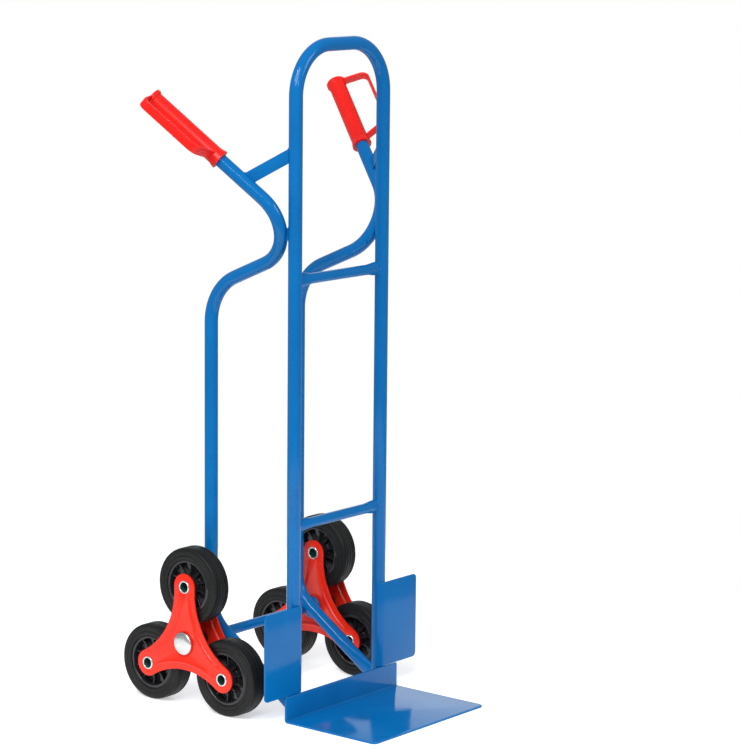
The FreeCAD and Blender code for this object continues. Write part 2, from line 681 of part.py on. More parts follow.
def star_plate(label, side, reach):
    """Three-armed plate with hollow sides, drilled for the axle bush and the wheel axles."""
    body = new_body(label)
    sketch = new_sketch(body, "profile", "YZ_Plane")
    arm = size("star_arm")
    tip = size("star_tip_radius")
    hollow = size("star_side")
    hollow_radius = size("star_side_radius")
    tips = []
    hollows = []
    for angle in ARMS.values():
        way = math.radians(angle)
        centre = Vector(arm * math.cos(way), arm * math.sin(way), 0)
        tips.append(centre)
        between = math.radians(angle + 60)
        hollows.append(Vector(hollow * math.cos(between), hollow * math.sin(between), 0))
    for index, centre in enumerate(tips):
        before = hollows[index - 1] - centre
        after = hollows[index] - centre
        start = math.atan2(before.y, before.x)
        end = math.atan2(after.y, after.x)
        sketch.addGeometry(Part.ArcOfCircle(Part.Circle(centre, Z_AXIS, tip), start, end))
    for index, centre in enumerate(hollows):
        this_tip = tips[index] - centre
        next_tip = tips[(index + 1) % 3] - centre
        start = math.atan2(next_tip.y, next_tip.x)
        end = math.atan2(this_tip.y, this_tip.x)
        sketch.addGeometry(Part.ArcOfCircle(Part.Circle(centre, Z_AXIS, hollow_radius), start, end))
    for index in range(3):
        following = (index + 1) % 3
        sketch.addConstraint(Sketcher.Constraint("Tangent", index, 2, 3 + index, 2))
        sketch.addConstraint(Sketcher.Constraint("Tangent", 3 + index, 1, following, 1))
        fix(sketch, "Radius", index, formula="star_tip_radius")
        fix(sketch, "Radius", 3 + index, formula="star_side_radius")
    for index, angle in enumerate(ARMS.values()):
        fix(sketch, "DistanceX", -1, 1, index, 3, formula=f"star_arm * cos({angle}deg)")
        fix(sketch, "DistanceY", -1, 1, index, 3, formula=f"star_arm * sin({angle}deg)")
    for index, centre in enumerate(tips):
        sketch.addGeometry(Part.Circle(centre, Z_AXIS, size("wheel_axle_radius")))
        sketch.addConstraint(Sketcher.Constraint("Coincident", 6 + index, 3, index, 3))
        fix(sketch, "Radius", 6 + index, formula="wheel_axle_radius")
    sketch.addGeometry(Part.Circle(Vector(), Z_AXIS, size("star_bush_radius")))
    sketch.addConstraint(Sketcher.Constraint("Coincident", 9, 3, -1, 1))
    fix(sketch, "Radius", 9, formula="star_bush_radius")
    pad = body.newObject("PartDesign::Pad", "thickness")
    pad.Profile = sketch
    bind(pad, Length="star_plate_thickness")
    pad.Midplane = True
    sketch.Visibility = False
    place(body, signed(side, reach), "axle_y", "axle_height")
    return body


def wheel_place(item, side, angle):
    """Put a piece on the axis of one wheel of a star."""
    across = signed(side, "star_middle")
    along = f"axle_y + star_arm * cos({angle}deg)"
    up = f"axle_height + star_arm * sin({angle}deg)"
    place(item, across, along, up)


def wheel_axle(label, side, angle):
    """Hollow axle with both ends rolled over the star plates."""
    seat = "star_plate_spacing / 2 + star_plate_thickness / 2"
    body = turned(label, [
        (f"-({seat}) - rivet_flange", "wheel_axle_bore"),
        (f"{seat} + rivet_flange", "wheel_axle_bore"),
        (f"{seat} + rivet_flange", "(wheel_axle_bore + rivet_flange_radius) / 2"),
        (seat, "rivet_flange_radius"),
        (seat, "wheel_axle_radius"),
        (f"-({seat})", "wheel_axle_radius"),
        (f"-({seat})", "rivet_flange_radius"),
        (f"-({seat}) - rivet_flange", "(wheel_axle_bore + rivet_flange_radius) / 2"),
    ])
    wheel_place(body, side, angle)
    return body


def tyre(label, side, angle):
    """Solid rubber ring with rounded shoulders."""
    body = turned(label, [
        ("-rim_width / 2", "rim_radius"),
        ("rim_width / 2", "rim_radius"),
        ("tyre_width / 2", "rim_radius + 2"),
        ("tyre_width / 2", "wheel_radius - 5"),
        ("tyre_width / 2 - 1.5", "wheel_radius - 1.5"),
        ("tyre_width / 2 - 5", "wheel_radius"),
        ("5 - tyre_width / 2", "wheel_radius"),
        ("1.5 - tyre_width / 2", "wheel_radius - 1.5"),
        ("-tyre_width / 2", "wheel_radius - 5"),
        ("-tyre_width / 2", "rim_radius + 2"),
    ])
    wheel_place(body, side, angle)
    return body


def rim(label, side, angle):
    """Moulded rim: barrel, web and hub turned in one, with radial ribs on both faces."""
    barrel = "rim_radius - rim_wall"
    hub_half = "star_gap / 2 - side_play - 1"
    body = turned(label, [
        (f"-({hub_half})", "wheel_bush_radius"),
        (hub_half, "wheel_bush_radius"),
        (hub_half, "rim_hub_radius"),
        ("rim_web / 2", "rim_hub_radius"),
        ("rim_web / 2", barrel),
        ("rim_width / 2", barrel),
        ("rim_width / 2", "rim_radius"),
        ("-rim_width / 2", "rim_radius"),
        ("-rim_width / 2", barrel),
        ("-rim_web / 2", barrel),
        ("-rim_web / 2", "rim_hub_radius"),
        (f"-({hub_half})", "rim_hub_radius"),
    ])
    doc.recompute()
    sketch = new_sketch(body, "rib_profile", "XY_Plane")
    outline(sketch, [
        ("-rib_width / 2", "rim_hub_radius - 1"),
        ("rib_width / 2", "rim_hub_radius - 1"),
        ("rib_width / 2", f"{barrel} + 1"),
        ("-rib_width / 2", f"{barrel} + 1"),
    ])
    rib = body.newObject("PartDesign::Pad", "rib")
    rib.Profile = sketch
    bind(rib, Length="rib_thickness")
    rib.Midplane = True
    doc.recompute()
    ribs = body.newObject("PartDesign::PolarPattern", "ribs")
    ribs.Originals = [rib]
    ribs.Axis = (sketch, ["H_Axis"])
    ribs.Angle = 360
    ribs.Occurrences = RIB_COUNT
    body.Tip = ribs
    wheel_place(body, side, angle)
    return body


def star_and_wheels(name, side):
    """One star with its bush, plates, three axles and three wheels."""
    star_plate(f"{name}_star_outer_plate", side, "star_plate_reach")
    star_plate(f"{name}_star_inner_plate", side, "star_plate_reach - star_plate_spacing")
    bush = ring(f"{name}_star_bush", "star_bush_radius", "axle_radius + running_clearance",
                "star_plate_spacing + star_plate_thickness")
    place(bush, signed(side, "star_middle"), "axle_y", "axle_height")
    for arm, angle in ARMS.items():
        wheel_axle(f"{name}_axle_{arm}", side, angle)
        tyre(f"{name}_tyre_{arm}", side, angle)
        rim(f"{name}_rim_{arm}", side, angle)
        bush = ring(f"{name}_bush_{arm}", "wheel_bush_radius",
                    "wheel_axle_radius + running_clearance", "star_gap - 2 * side_play")
        wheel_place(bush, side, angle)


# ---------------------------------------------------------------- the whole truck

def node_names():
    """Every sub-part that is written out."""
    names = ["main_tube", "upper_crossbar", "lower_crossbar", "toe_plate", "axle_tube", "axle_rod"]
    for name in SIDES:
        for piece in ("wheel_guard", "handle_tube", "handle_link", "handle_brace", "grip",
                      "axle_boss", "thrust_washer", "axle_cap", "star_outer_plate",
                      "star_inner_plate", "star_bush"):
            names.append(f"{name}_{piece}")
        for arm in ARMS:
            for piece in ("axle", "tyre", "rim", "bush"):
                names.append(f"{name}_{piece}_{arm}")
    return names


def check_and_write():
    """Stop if any object failed, then write each sub-part to its own file."""
    doc.recompute()
    for item in doc.Objects:
        if "Invalid" in item.State or "Error" in item.State:
            raise RuntimeError(f"{item.Name} failed: {item.State}")
    os.makedirs("parts", exist_ok=True)
    for name in node_names():
        shape = doc.getObjectsByLabel(name)[0].Shape
        if shape.isNull() or not shape.isValid():
            raise RuntimeError(f"{name} has no valid shape")
        shape.exportStep(f"parts/{name}.step")
        print(f"{name}: {len(shape.Solids)} solid, {shape.Volume / 1000:.1f} cm3")


def build():
    main_tube()
    crossbar("upper_crossbar", "upper_crossbar_height")
    crossbar("lower_crossbar", "lower_crossbar_height")
    toe_plate()
    axle_pieces()
    for name, side in SIDES.items():
        wheel_guard(name, side)
        handle_tube(name, side)
        handle_link(name, side)
        handle_brace(name, side)
        grip(name, side)
        star_and_wheels(name, side)
    check_and_write()


build()
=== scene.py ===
"""Visual model of a stair-climbing sack truck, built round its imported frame.

The back frame, toe plate, wheel guards and handles are one welded and powder-coated
body. A red star of two pressed plates turns on each end of the axle and carries three
rubber-tyred wheels. All lengths are metres. X is the width, the toe plate points to -Y
and Z is up.
"""

import json
import logging
import math
from contextlib import contextmanager
from dataclasses import dataclass, field
from enum import Enum
from typing import Any, Callable, Iterator, Sequence

import bmesh
import bpy
from mathutils import Matrix, Vector

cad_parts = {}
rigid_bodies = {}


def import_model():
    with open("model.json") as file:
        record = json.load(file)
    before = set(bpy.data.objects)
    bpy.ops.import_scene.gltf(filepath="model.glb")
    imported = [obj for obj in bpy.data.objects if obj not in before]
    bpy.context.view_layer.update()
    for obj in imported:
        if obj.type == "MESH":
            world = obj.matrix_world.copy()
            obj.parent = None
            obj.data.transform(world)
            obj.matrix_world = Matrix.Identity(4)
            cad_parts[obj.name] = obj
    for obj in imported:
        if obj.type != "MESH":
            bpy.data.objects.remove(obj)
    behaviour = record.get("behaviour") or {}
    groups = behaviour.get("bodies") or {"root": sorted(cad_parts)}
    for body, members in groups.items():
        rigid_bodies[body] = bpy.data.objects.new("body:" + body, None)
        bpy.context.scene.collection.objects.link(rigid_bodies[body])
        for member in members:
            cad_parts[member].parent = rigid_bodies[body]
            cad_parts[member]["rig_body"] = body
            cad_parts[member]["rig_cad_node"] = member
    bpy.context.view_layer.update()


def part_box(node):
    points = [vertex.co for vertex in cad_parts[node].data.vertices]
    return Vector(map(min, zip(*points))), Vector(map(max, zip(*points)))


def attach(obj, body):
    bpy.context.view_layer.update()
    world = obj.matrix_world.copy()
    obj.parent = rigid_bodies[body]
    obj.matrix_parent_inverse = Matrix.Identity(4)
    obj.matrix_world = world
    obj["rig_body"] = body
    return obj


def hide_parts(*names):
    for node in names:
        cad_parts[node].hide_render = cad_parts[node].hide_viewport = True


logging.basicConfig(level=logging.INFO, format="%(message)s")
log = logging.getLogger("sack_truck")

MM = 0.001
SAME_PLACE = 1e-5  # two places no further apart than this are one, in metres
DOUBLED = 1e-6  # vertices no further apart than this are merged, in metres
NO_MOVE = 1e-7  # a shorter run than this is not drawn, in metres
X_AXIS = Vector((1.0, 0.0, 0.0))
Y_AXIS = Vector((0.0, 1.0, 0.0))
Z_AXIS = Vector((0.0, 0.0, 1.0))

PlaceTest = Callable[[Vector], bool]
Profile = Sequence[tuple[float, float, float]]


class Side(Enum):
    """The two sides of the truck, and the way each points along X."""

    LEFT = -1
    RIGHT = 1

    @property
    def word(self) -> str:
        """The side's name as the nodes and bodies spell it."""
        return self.name.lower()


class Arm(Enum):
    """The three arms of a star, as degrees round the axle from +Y."""

    TOP = 90
    FRONT = 210
    REAR = 330

    @property
    def word(self) -> str:
        """The arm's name as the nodes and bodies spell it."""
        return self.name.lower()

    @property
    def way(self) -> Vector:
        """Unit vector from the star's centre along the arm."""
        return round_x(self.value)


def round_x(degrees: float) -> Vector:
    """Unit vector at an angle round the X axis, from +Y towards +Z."""
    return Vector((0.0, math.cos(math.radians(degrees)), math.sin(math.radians(degrees))))


# ---------------------------------------------------------------- finishes


def linear(shade: str) -> tuple[float, float, float, float]:
    """Turn an sRGB hex colour into linear red, green, blue and alpha.

    Args:
        shade: Six hex digits, such as "2d74b9".

    Returns:
        The linear colour with alpha 1.
    """
    parts = [int(shade[i : i + 2], 16) / 255 for i in (0, 2, 4)]
    bent = [p / 12.92 if p <= 0.04045 else ((p + 0.055) / 1.055) ** 2.4 for p in parts]
    return (bent[0], bent[1], bent[2], 1.0)


def add_node(
    owner: bpy.types.Material | bpy.types.World,
    kind: str,
    links: dict[str | int, tuple[bpy.types.Node, str]] | None = None,
    **settings: Any,
) -> bpy.types.Node:
    """Add one shader node with its settings and incoming links.

    Args:
        owner: The material or world whose tree gets the node.
        kind: The node's type, such as "ShaderNodeTexNoise".
        links: For each linked input, the node and output it comes from.
        **settings: Property values, or input values where the name is an input's,
            with spaces written as underscores.

    Returns:
        The new node.
    """
    node = owner.node_tree.nodes.new(kind)
    for key, value in settings.items():
        socket = node.inputs.get(key.replace("_", " "))
        if socket is None:
            setattr(node, key, value)
        else:
            socket.default_value = value
    for key, (source, output) in (links or {}).items():
        owner.node_tree.links.new(source.outputs[output], node.inputs[key])
    return node


def waves_per_metre(size_mm: float) -> float:
    """Texture scale whose features are about this many millimetres across."""
    return 1000.0 / size_mm


# a noise lies almost wholly between these two values
MID_RANGE = (0.3, 0.7)


@dataclass(frozen=True)
class Finish:
    """A surface with a mottled colour, an uneven gloss and a fine relief.

    Every finish here is this recipe with its own sizes: a broad mottle in the colour,
    a middle pattern in the roughness and a fine one in the bump.
    """

    name: str
    slot: str
    shade: str
    deep_shade: str
    roughness: float
    roughness_spread: float
    mottle_mm: float
    grain_mm: float
    grain_depth_mm: float
    grain_strength: float = 0.3
    metallic: float = 0.0
    ior: float = 1.5
    stretch: tuple[float, float, float] = (1.0, 1.0, 1.0)
    specular: float = 0.5
    glow: float = 0.0

    def material(self) -> bpy.types.Material:
        """Return the finish's material, made the first time it is asked for."""
        found = bpy.data.materials.get(self.name)
        return found if found else self.make()

    def make(self) -> bpy.types.Material:
        """Build the node tree.

        Returns:
            The new material.
        """
        made = bpy.data.materials.new(self.name)
        made.use_nodes = True
        made.node_tree.nodes.clear()
        place = add_node(made, "ShaderNodeTexCoord")
        mapped = add_node(
            made, "ShaderNodeMapping", {"Vector": (place, "Object")}, Scale=self.stretch
        )
        mottle, gloss = (
            add_node(
                made, "ShaderNodeTexNoise", {"Vector": (mapped, "Vector")},
                Scale=waves_per_metre(size), Detail=detail,
            )
            for size, detail in ((self.mottle_mm, 3.0), (self.mottle_mm / 4, 4.0))
        )
        tint = add_node(made, "ShaderNodeValToRGB", {"Fac": (mottle, "Fac")})
        shades = zip(tint.color_ramp.elements, MID_RANGE, (self.deep_shade, self.shade))
        for element, position, shade in shades:
            element.position = position
            element.color = linear(shade)
        uneven = add_node(
            made, "ShaderNodeMapRange", {"Value": (gloss, "Fac")},
            From_Min=MID_RANGE[0],
            From_Max=MID_RANGE[1],
            To_Min=self.roughness - self.roughness_spread,
            To_Max=self.roughness + self.roughness_spread,
        )
        bump = add_node(
            made, "ShaderNodeBump", {"Height": self.relief(made, mapped)},
            Strength=self.grain_strength, Distance=self.grain_depth_mm * MM,
        )
        inputs = {
            "Base Color": (tint, "Color"),
            "Roughness": (uneven, "Result"),
            "Normal": (bump, "Normal"),
        }
        surface = add_node(
            made, "ShaderNodeBsdfPrincipled", inputs,
            Metallic=self.metallic,
            Specular_IOR_Level=self.specular,
            Emission_Color=linear("ffffff"),
            Emission_Strength=self.glow,
        )
        if not self.metallic:
            surface.inputs["IOR"].default_value = self.ior
        add_node(made, "ShaderNodeOutputMaterial", {"Surface": (surface, "BSDF")})
        return made

    def relief(
        self, made: bpy.types.Material, mapped: bpy.types.Node
    ) -> tuple[bpy.types.Node, str]:
        """Add the fine pattern that the bump reads.

        Args:
            made: The material being built.
            mapped: The node that gives the pattern its coordinates.

        Returns:
            The pattern's node and the output to read.
        """
        grain = add_node(
            made, "ShaderNodeTexNoise", {"Vector": (mapped, "Vector")},
            Scale=waves_per_metre(self.grain_mm), Detail=2.0,
        )
        return grain, "Fac"


@dataclass(frozen=True)
class CrystalFinish(Finish):
    """A plated surface whose relief is a mesh of small crystals instead of a noise."""

    def relief(
        self, made: bpy.types.Material, mapped: bpy.types.Node
    ) -> tuple[bpy.types.Node, str]:
        """Add the crystal pattern that the bump reads, as in Finish."""
        crystals = add_node(
            made, "ShaderNodeTexVoronoi", {"Vector": (mapped, "Vector")},
            Scale=waves_per_metre(self.grain_mm),
        )
        return crystals, "Distance"


# Polyester powder coat, sprayed dry and baked: a hard gloss with a faint orange peel.
# The real peel is about 1.5 mm from crest to crest and is drawn at 4 mm so that it shows.
BLUE_POWDER_COAT = Finish(
    name="blue_polyester_powder_coat", slot="blue_powder_coat", shade="0668aa",
    deep_shade="0462a2", roughness=0.12, roughness_spread=0.03, mottle_mm=90, grain_mm=4.0,
    grain_depth_mm=0.12, grain_strength=0.012, specular=0.2,
)
# The same coat in signal red on the pressed star plates, with the same peel drawn at 4 mm.
RED_POWDER_COAT = Finish(
    name="red_polyester_powder_coat", slot="red_powder_coat", shade="ee2c16",
    deep_shade="e62713", roughness=0.2, roughness_spread=0.04, mottle_mm=60, grain_mm=4.0,
    grain_depth_mm=0.12, grain_strength=0.02, specular=0.3,
)
# Injection-moulded polypropylene: a soft gloss over a very fine spark-eroded grain.
# The grain is 0.3 mm and is drawn at 1 mm.
RED_POLYPROPYLENE = Finish(
    name="red_moulded_polypropylene", slot="red_plastic", shade="e81c14", deep_shade="de1812",
    roughness=0.3, roughness_spread=0.04, mottle_mm=50, grain_mm=1.0, grain_depth_mm=0.03,
    grain_strength=0.04, ior=1.49, specular=0.3,
)
# Vulcanised rubber: near black and dull, with a mould skin that catches a broad sheen.
# Its surface grain is about 0.5 mm and is drawn at 1.2 mm.
TYRE_RUBBER = Finish(
    name="black_vulcanised_rubber", slot="tyre_rubber", shade="131312", deep_shade="0e0e0d",
    roughness=0.5, roughness_spread=0.1, mottle_mm=35, grain_mm=1.2, grain_depth_mm=0.08,
    grain_strength=0.35, ior=1.52, specular=0.25,
)
# Injection-moulded polypropylene in black: smooth gloss with faint flow marks. Its mould
# grain is 0.3 mm and is drawn at 1 mm.
BLACK_POLYPROPYLENE = Finish(
    name="black_moulded_polypropylene", slot="rim_plastic", shade="232325", deep_shade="1c1c1e",
    roughness=0.15, roughness_spread=0.04, mottle_mm=30, grain_mm=1.0, grain_depth_mm=0.02,
    grain_strength=0.08, ior=1.49,
)
# Turned nylon: black with a waxy, even surface. Its turning marks are about 0.2 mm apart
# and are drawn at 0.8 mm.
BLACK_NYLON = Finish(
    name="black_turned_nylon", slot="black_nylon", shade="1f1f20", deep_shade="18181a",
    roughness=0.42, roughness_spread=0.05, mottle_mm=20, grain_mm=0.8, grain_depth_mm=0.03,
    ior=1.53,
)
# Bright zinc electroplate on steel: a pale metal with small crystals that break up the
# reflection. The crystals are about 0.3 mm and are drawn at 0.8 mm.
ZINC_PLATE = CrystalFinish(
    name="bright_zinc_plated_steel", slot="zinc_steel", shade="e3e6e6", deep_shade="cfd4d5",
    roughness=0.24, roughness_spread=0.08, mottle_mm=9, grain_mm=0.8, grain_depth_mm=0.02,
    grain_strength=0.25, metallic=1.0,
)
# Zinc plate inside the hollow axles, coloured dark green-teal as painted shade and painted
# reflection deep in the bore, with its crystals also drawn at 0.8 mm.
PAINTED_BORE_SHADE = Finish(
    name="green_passivated_zinc", slot="zinc_steel", shade="23655c", deep_shade="174640",
    roughness=0.3, roughness_spread=0.08, mottle_mm=8, grain_mm=0.8, grain_depth_mm=0.02,
    grain_strength=0.2, metallic=0.35,
)
# Pressed stainless steel, left bright from the tool: pale, with soft draw marks. The marks
# are about 0.5 mm apart and are drawn at 1.5 mm, longer along Y.
CAP_STEEL = Finish(
    name="bright_pressed_stainless_steel", slot="cap_steel", shade="dcdcda",
    deep_shade="c4c4c2", roughness=0.25, roughness_spread=0.08, mottle_mm=12, grain_mm=1.5,
    grain_depth_mm=0.03, grain_strength=0.06, metallic=1.0, stretch=(1.0, 0.25, 1.0),
)
# Backlit acrylic studio floor: pale and matt, and lit from below so that shadows stay soft.
STUDIO_FLOOR = Finish(
    name="backlit_white_studio_floor", slot="", shade="f3f3f2", deep_shade="f0f0ef",
    roughness=0.6, roughness_spread=0.02, mottle_mm=900, grain_mm=6.0, grain_depth_mm=0.05,
    grain_strength=0.05, specular=0.1, glow=0.46,
)


# ---------------------------------------------------------------- shop tools


def deselect_all() -> None:
    """Leave every object unselected."""
    bpy.ops.object.select_all(action="DESELECT")


def select_only(piece: bpy.types.Object) -> None:
    """Make one object the only selected one, and the active one."""
    deselect_all()
    piece.select_set(True)
    bpy.context.view_layer.objects.active = piece


@contextmanager
def editing(piece: bpy.types.Object) -> Iterator[None]:
    """Edit mode on one piece, with all of it selected at first.

    Args:
        piece: The mesh object to edit.
    """
    select_only(piece)
    bpy.ops.object.mode_set(mode="EDIT")
    bpy.ops.mesh.select_mode(type="VERT")
    bpy.ops.mesh.select_all(action="SELECT")
    yield
    bpy.ops.object.mode_set(mode="OBJECT")


def pick(wanted: PlaceTest) -> int:
    """Select the vertices of the piece in edit mode by their place.

    Args:
        wanted: Says whether a vertex at this place is selected.

    Returns:
        The number of vertices selected.
    """
    mesh = bpy.context.edit_object.data
    shape = bmesh.from_edit_mesh(mesh)
    bpy.ops.mesh.select_all(action="DESELECT")
    found = 0
    for vertex in shape.verts:
        if wanted(vertex.co):
            vertex.select_set(True)
            found += 1
    shape.select_flush(True)
    bmesh.update_edit_mesh(mesh)
    return found


def take_all() -> None:
    """Select all of the piece in edit mode."""
    bpy.ops.mesh.select_all(action="SELECT")


def close_to(*places: Vector) -> PlaceTest:
    """A test for vertices within a hundredth of a millimetre of some places."""
    return lambda point: any((point - place).length < SAME_PLACE for place in places)


def fix_place(piece: bpy.types.Object) -> None:
    """Put an object's place, turn and scale into its mesh."""
    select_only(piece)
    bpy.ops.object.transform_apply(location=True, rotation=True, scale=True)


def turn_into_place(piece: bpy.types.Object, place: Matrix) -> None:
    """Move a piece that was made at the origin, and keep its object at the origin."""
    piece.matrix_world = place
    bpy.context.view_layer.update()
    fix_place(piece)


def add_modifier(piece: bpy.types.Object, kind: str, **settings: Any) -> None:
    """Add a modifier with its settings and apply it at once."""
    select_only(piece)
    modifier = piece.modifiers.new(kind.lower(), kind)
    for key, value in settings.items():
        setattr(modifier, key, value)
    bpy.ops.object.modifier_apply(modifier=modifier.name)


def break_edges(piece: bpy.types.Object, width: float, segments: int = 2) -> None:
    """Round the sharp edges of a finished solid a little, as paint and tools do."""
    add_modifier(
        piece, "BEVEL", width=width, segments=segments, limit_method="ANGLE",
        angle_limit=math.radians(50), use_clamp_overlap=True,
    )


def smooth(piece: bpy.types.Object, degrees: float = 40.0) -> None:
    """Shade smooth, with edges sharper than the given angle kept crisp."""
    select_only(piece)
    bpy.ops.object.shade_smooth_by_angle(angle=math.radians(degrees))


def point_out() -> None:
    """Turn all faces in edit mode the same way, outwards where they close a shape."""
    take_all()
    bpy.ops.mesh.normals_make_consistent(inside=False)


def face_outwards(piece: bpy.types.Object) -> None:
    """Merge doubled vertices and point every face outwards."""
    with editing(piece):
        bpy.ops.mesh.remove_doubles(threshold=DOUBLED)
        point_out()


def face_along(piece: bpy.types.Object, face: bpy.types.MeshPolygon, way: Vector) -> None:
    """Turn a whole sheet over if one of its faces looks against a direction."""
    if face.normal.dot(way) < 0:
        with editing(piece):
            bpy.ops.mesh.flip_normals()


def round_corners(radius: float, segments: int) -> None:
    """Round the selected corners of an outline in edit mode."""
    bpy.ops.mesh.bevel(offset=radius, segments=segments, affect="VERTICES")


def give_wall(piece: bpy.types.Object, thickness: float, **settings: Any) -> None:
    """Thicken a skin inwards from its outer face."""
    add_modifier(piece, "SOLIDIFY", thickness=thickness, offset=-1.0, **settings)


def finish_sheet(piece: bpy.types.Object, thickness: float, edge: float) -> None:
    """Thicken a folded sheet evenly, break its edges and shade it."""
    give_wall(piece, thickness, use_even_offset=True)
    break_edges(piece, edge, 3)
    smooth(piece, 30)


def middle_of(node: str) -> Vector:
    """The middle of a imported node's box."""
    low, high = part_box(node)
    return (low + high) / 2


def start_point(name: str, at: Vector) -> bpy.types.Object:
    """A new mesh of one vertex, from which a line is drawn out."""
    deselect_all()
    bpy.ops.mesh.primitive_plane_add(size=0.01, location=at)
    piece = bpy.context.object
    piece.name = name
    fix_place(piece)
    with editing(piece):
        bpy.ops.mesh.merge(type="CENTER")
    return piece


def start_ring(
    name: str, at: Vector, heading: Vector, radius: float, sides: int
) -> bpy.types.Object:
    """A new mesh of one open ring square to a heading."""
    deselect_all()
    bpy.ops.mesh.primitive_circle_add(
        vertices=sides, radius=radius, fill_type="NOTHING", location=at,
        rotation=heading.to_track_quat("Z", "Y").to_euler(),
    )
    piece = bpy.context.object
    piece.name = name
    fix_place(piece)
    return piece


def draw_out(move: Vector) -> None:
    """Extrude what is selected in edit mode along a straight move."""
    if move.length > NO_MOVE:
        bpy.ops.mesh.extrude_region_move(TRANSFORM_OT_translate={"value": tuple(move)})


def draw_round(centre: Vector, axis: Vector, angle: float, steps: int) -> None:
    """Extrude what is selected in edit mode round an axis, right-handed.

    Args:
        centre: A point on the axis.
        axis: The axis to turn about.
        angle: The turn, in radians.
        steps: How many facets the turn gets.
    """
    # with no window the operator turns the other way, so the angle is negated
    bpy.ops.mesh.spin(steps=steps, angle=-angle, center=tuple(centre), axis=tuple(axis))


def follow(corners: Sequence[Vector], bends: Sequence[float]) -> None:
    """Extrude what is selected in edit mode along straight runs with round bends.

    Args:
        corners: The points where the runs meet, from the first end to the last.
        bends: The centre line radius at each inner corner.
    """
    here = corners[0]
    for index, radius in enumerate(bends, start=1):
        way = (corners[index] - corners[index - 1]).normalized()
        onward = (corners[index + 1] - corners[index]).normalized()
        angle = way.angle(onward)
        setback = radius * math.tan(angle / 2)
        axis = way.cross(onward).normalized()
        begin = corners[index] - way * setback
        draw_out(begin - here)
        steps = max(4, math.ceil(math.degrees(angle) / 4))
        draw_round(begin + axis.cross(way) * radius, axis, angle, steps)
        here = corners[index] + onward * setback
    draw_out(corners[-1] - here)


def bent_tube(
    name: str,
    corners: Sequence[Vector],
    bends: Sequence[float],
    radius: float,
    sides: int = 44,
) -> bpy.types.Object:
    """The outer skin of a bent round tube, still without its wall."""
    piece = start_ring(name, corners[0], corners[1] - corners[0], radius, sides)
    with editing(piece):
        follow(corners, bends)
    face_outwards(piece)
    return piece


def squeeze(wanted: PlaceTest, value: tuple[float, float, float], centre: Vector) -> None:
    """Scale the vertices of a place in edit mode about a centre."""
    pick(wanted)
    bpy.ops.transform.resize(value=value, center_override=tuple(centre))


def turned(
    name: str,
    profile: Profile,
    centre: Vector,
    steps: int = 64,
    closed: bool = True,
) -> bpy.types.Object:
    """A turned piece: a profile spun once round an axis along X.

    Args:
        name: The piece's name.
        profile: Along, radius and corner rounding of each point, in millimetres.
        centre: The point on the axis from which "along" is measured.
        steps: How many facets go round.
        closed: Whether the last point joins the first.

    Returns:
        The finished mesh object.
    """
    places = [centre + Vector((along, 0.0, radius)) * MM for along, radius, _ in profile]
    piece = start_point(name, places[0])
    with editing(piece):
        for before, after in zip(places, places[1:]):
            draw_out(after - before)
        if closed:
            pick(close_to(places[0], places[-1]))
            bpy.ops.mesh.edge_face_add()
        for rounding in sorted({point[2] for point in profile if point[2]}):
            corners = [p for p, point in zip(places, profile) if point[2] == rounding]
            pick(close_to(*corners))
            round_corners(rounding * MM, 3)
        take_all()
        draw_round(centre, X_AXIS, math.tau, steps)
    face_outwards(piece)
    smooth(piece)
    return piece


def both_ways(half: Profile) -> Profile:
    """A whole profile from the half of it on one side of the middle."""
    return [*half, *((-along, radius, rounding) for along, radius, rounding in reversed(half))]


def combine(piece: bpy.types.Object, tool: bpy.types.Object, how: str) -> None:
    """Cut a tool's shape out of a piece, or weld it on, and discard the tool."""
    add_modifier(piece, "BOOLEAN", object=tool, operation=how, solver="EXACT")
    bpy.data.objects.remove(tool)


def copy_of(piece: bpy.types.Object, name: str, move: Vector) -> bpy.types.Object:
    """A copy with its own mesh, moved, with its object still at the origin."""
    twin = piece.copy()
    twin.data = piece.data.copy()
    twin.name = name
    bpy.context.scene.collection.objects.link(twin)
    turn_into_place(twin, Matrix.Translation(move))
    return twin


def from_node(name: str, node: bpy.types.Object) -> bpy.types.Object:
    """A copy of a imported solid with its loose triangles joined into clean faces."""
    piece = node.copy()
    piece.data = node.data.copy()
    piece.parent = None
    piece.name = name
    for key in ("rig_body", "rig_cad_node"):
        if key in piece:
            del piece[key]
    bpy.context.scene.collection.objects.link(piece)
    with editing(piece):
        bpy.ops.mesh.remove_doubles(threshold=DOUBLED)
        bpy.ops.mesh.dissolve_limited(angle_limit=math.radians(1.0))
    return piece


def dress(piece: bpy.types.Object, finish: Finish, body: str, *nodes: str) -> None:
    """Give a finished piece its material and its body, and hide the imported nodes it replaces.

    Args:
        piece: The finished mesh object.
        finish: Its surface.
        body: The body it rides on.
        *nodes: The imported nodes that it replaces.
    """
    piece.data.materials.clear()
    piece.data.materials.append(finish.material())
    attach(piece, body)
    if nodes:
        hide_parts(*nodes)
    log.info("%s on %s: %d faces, %s", piece.name, body, len(piece.data.polygons), finish.name)


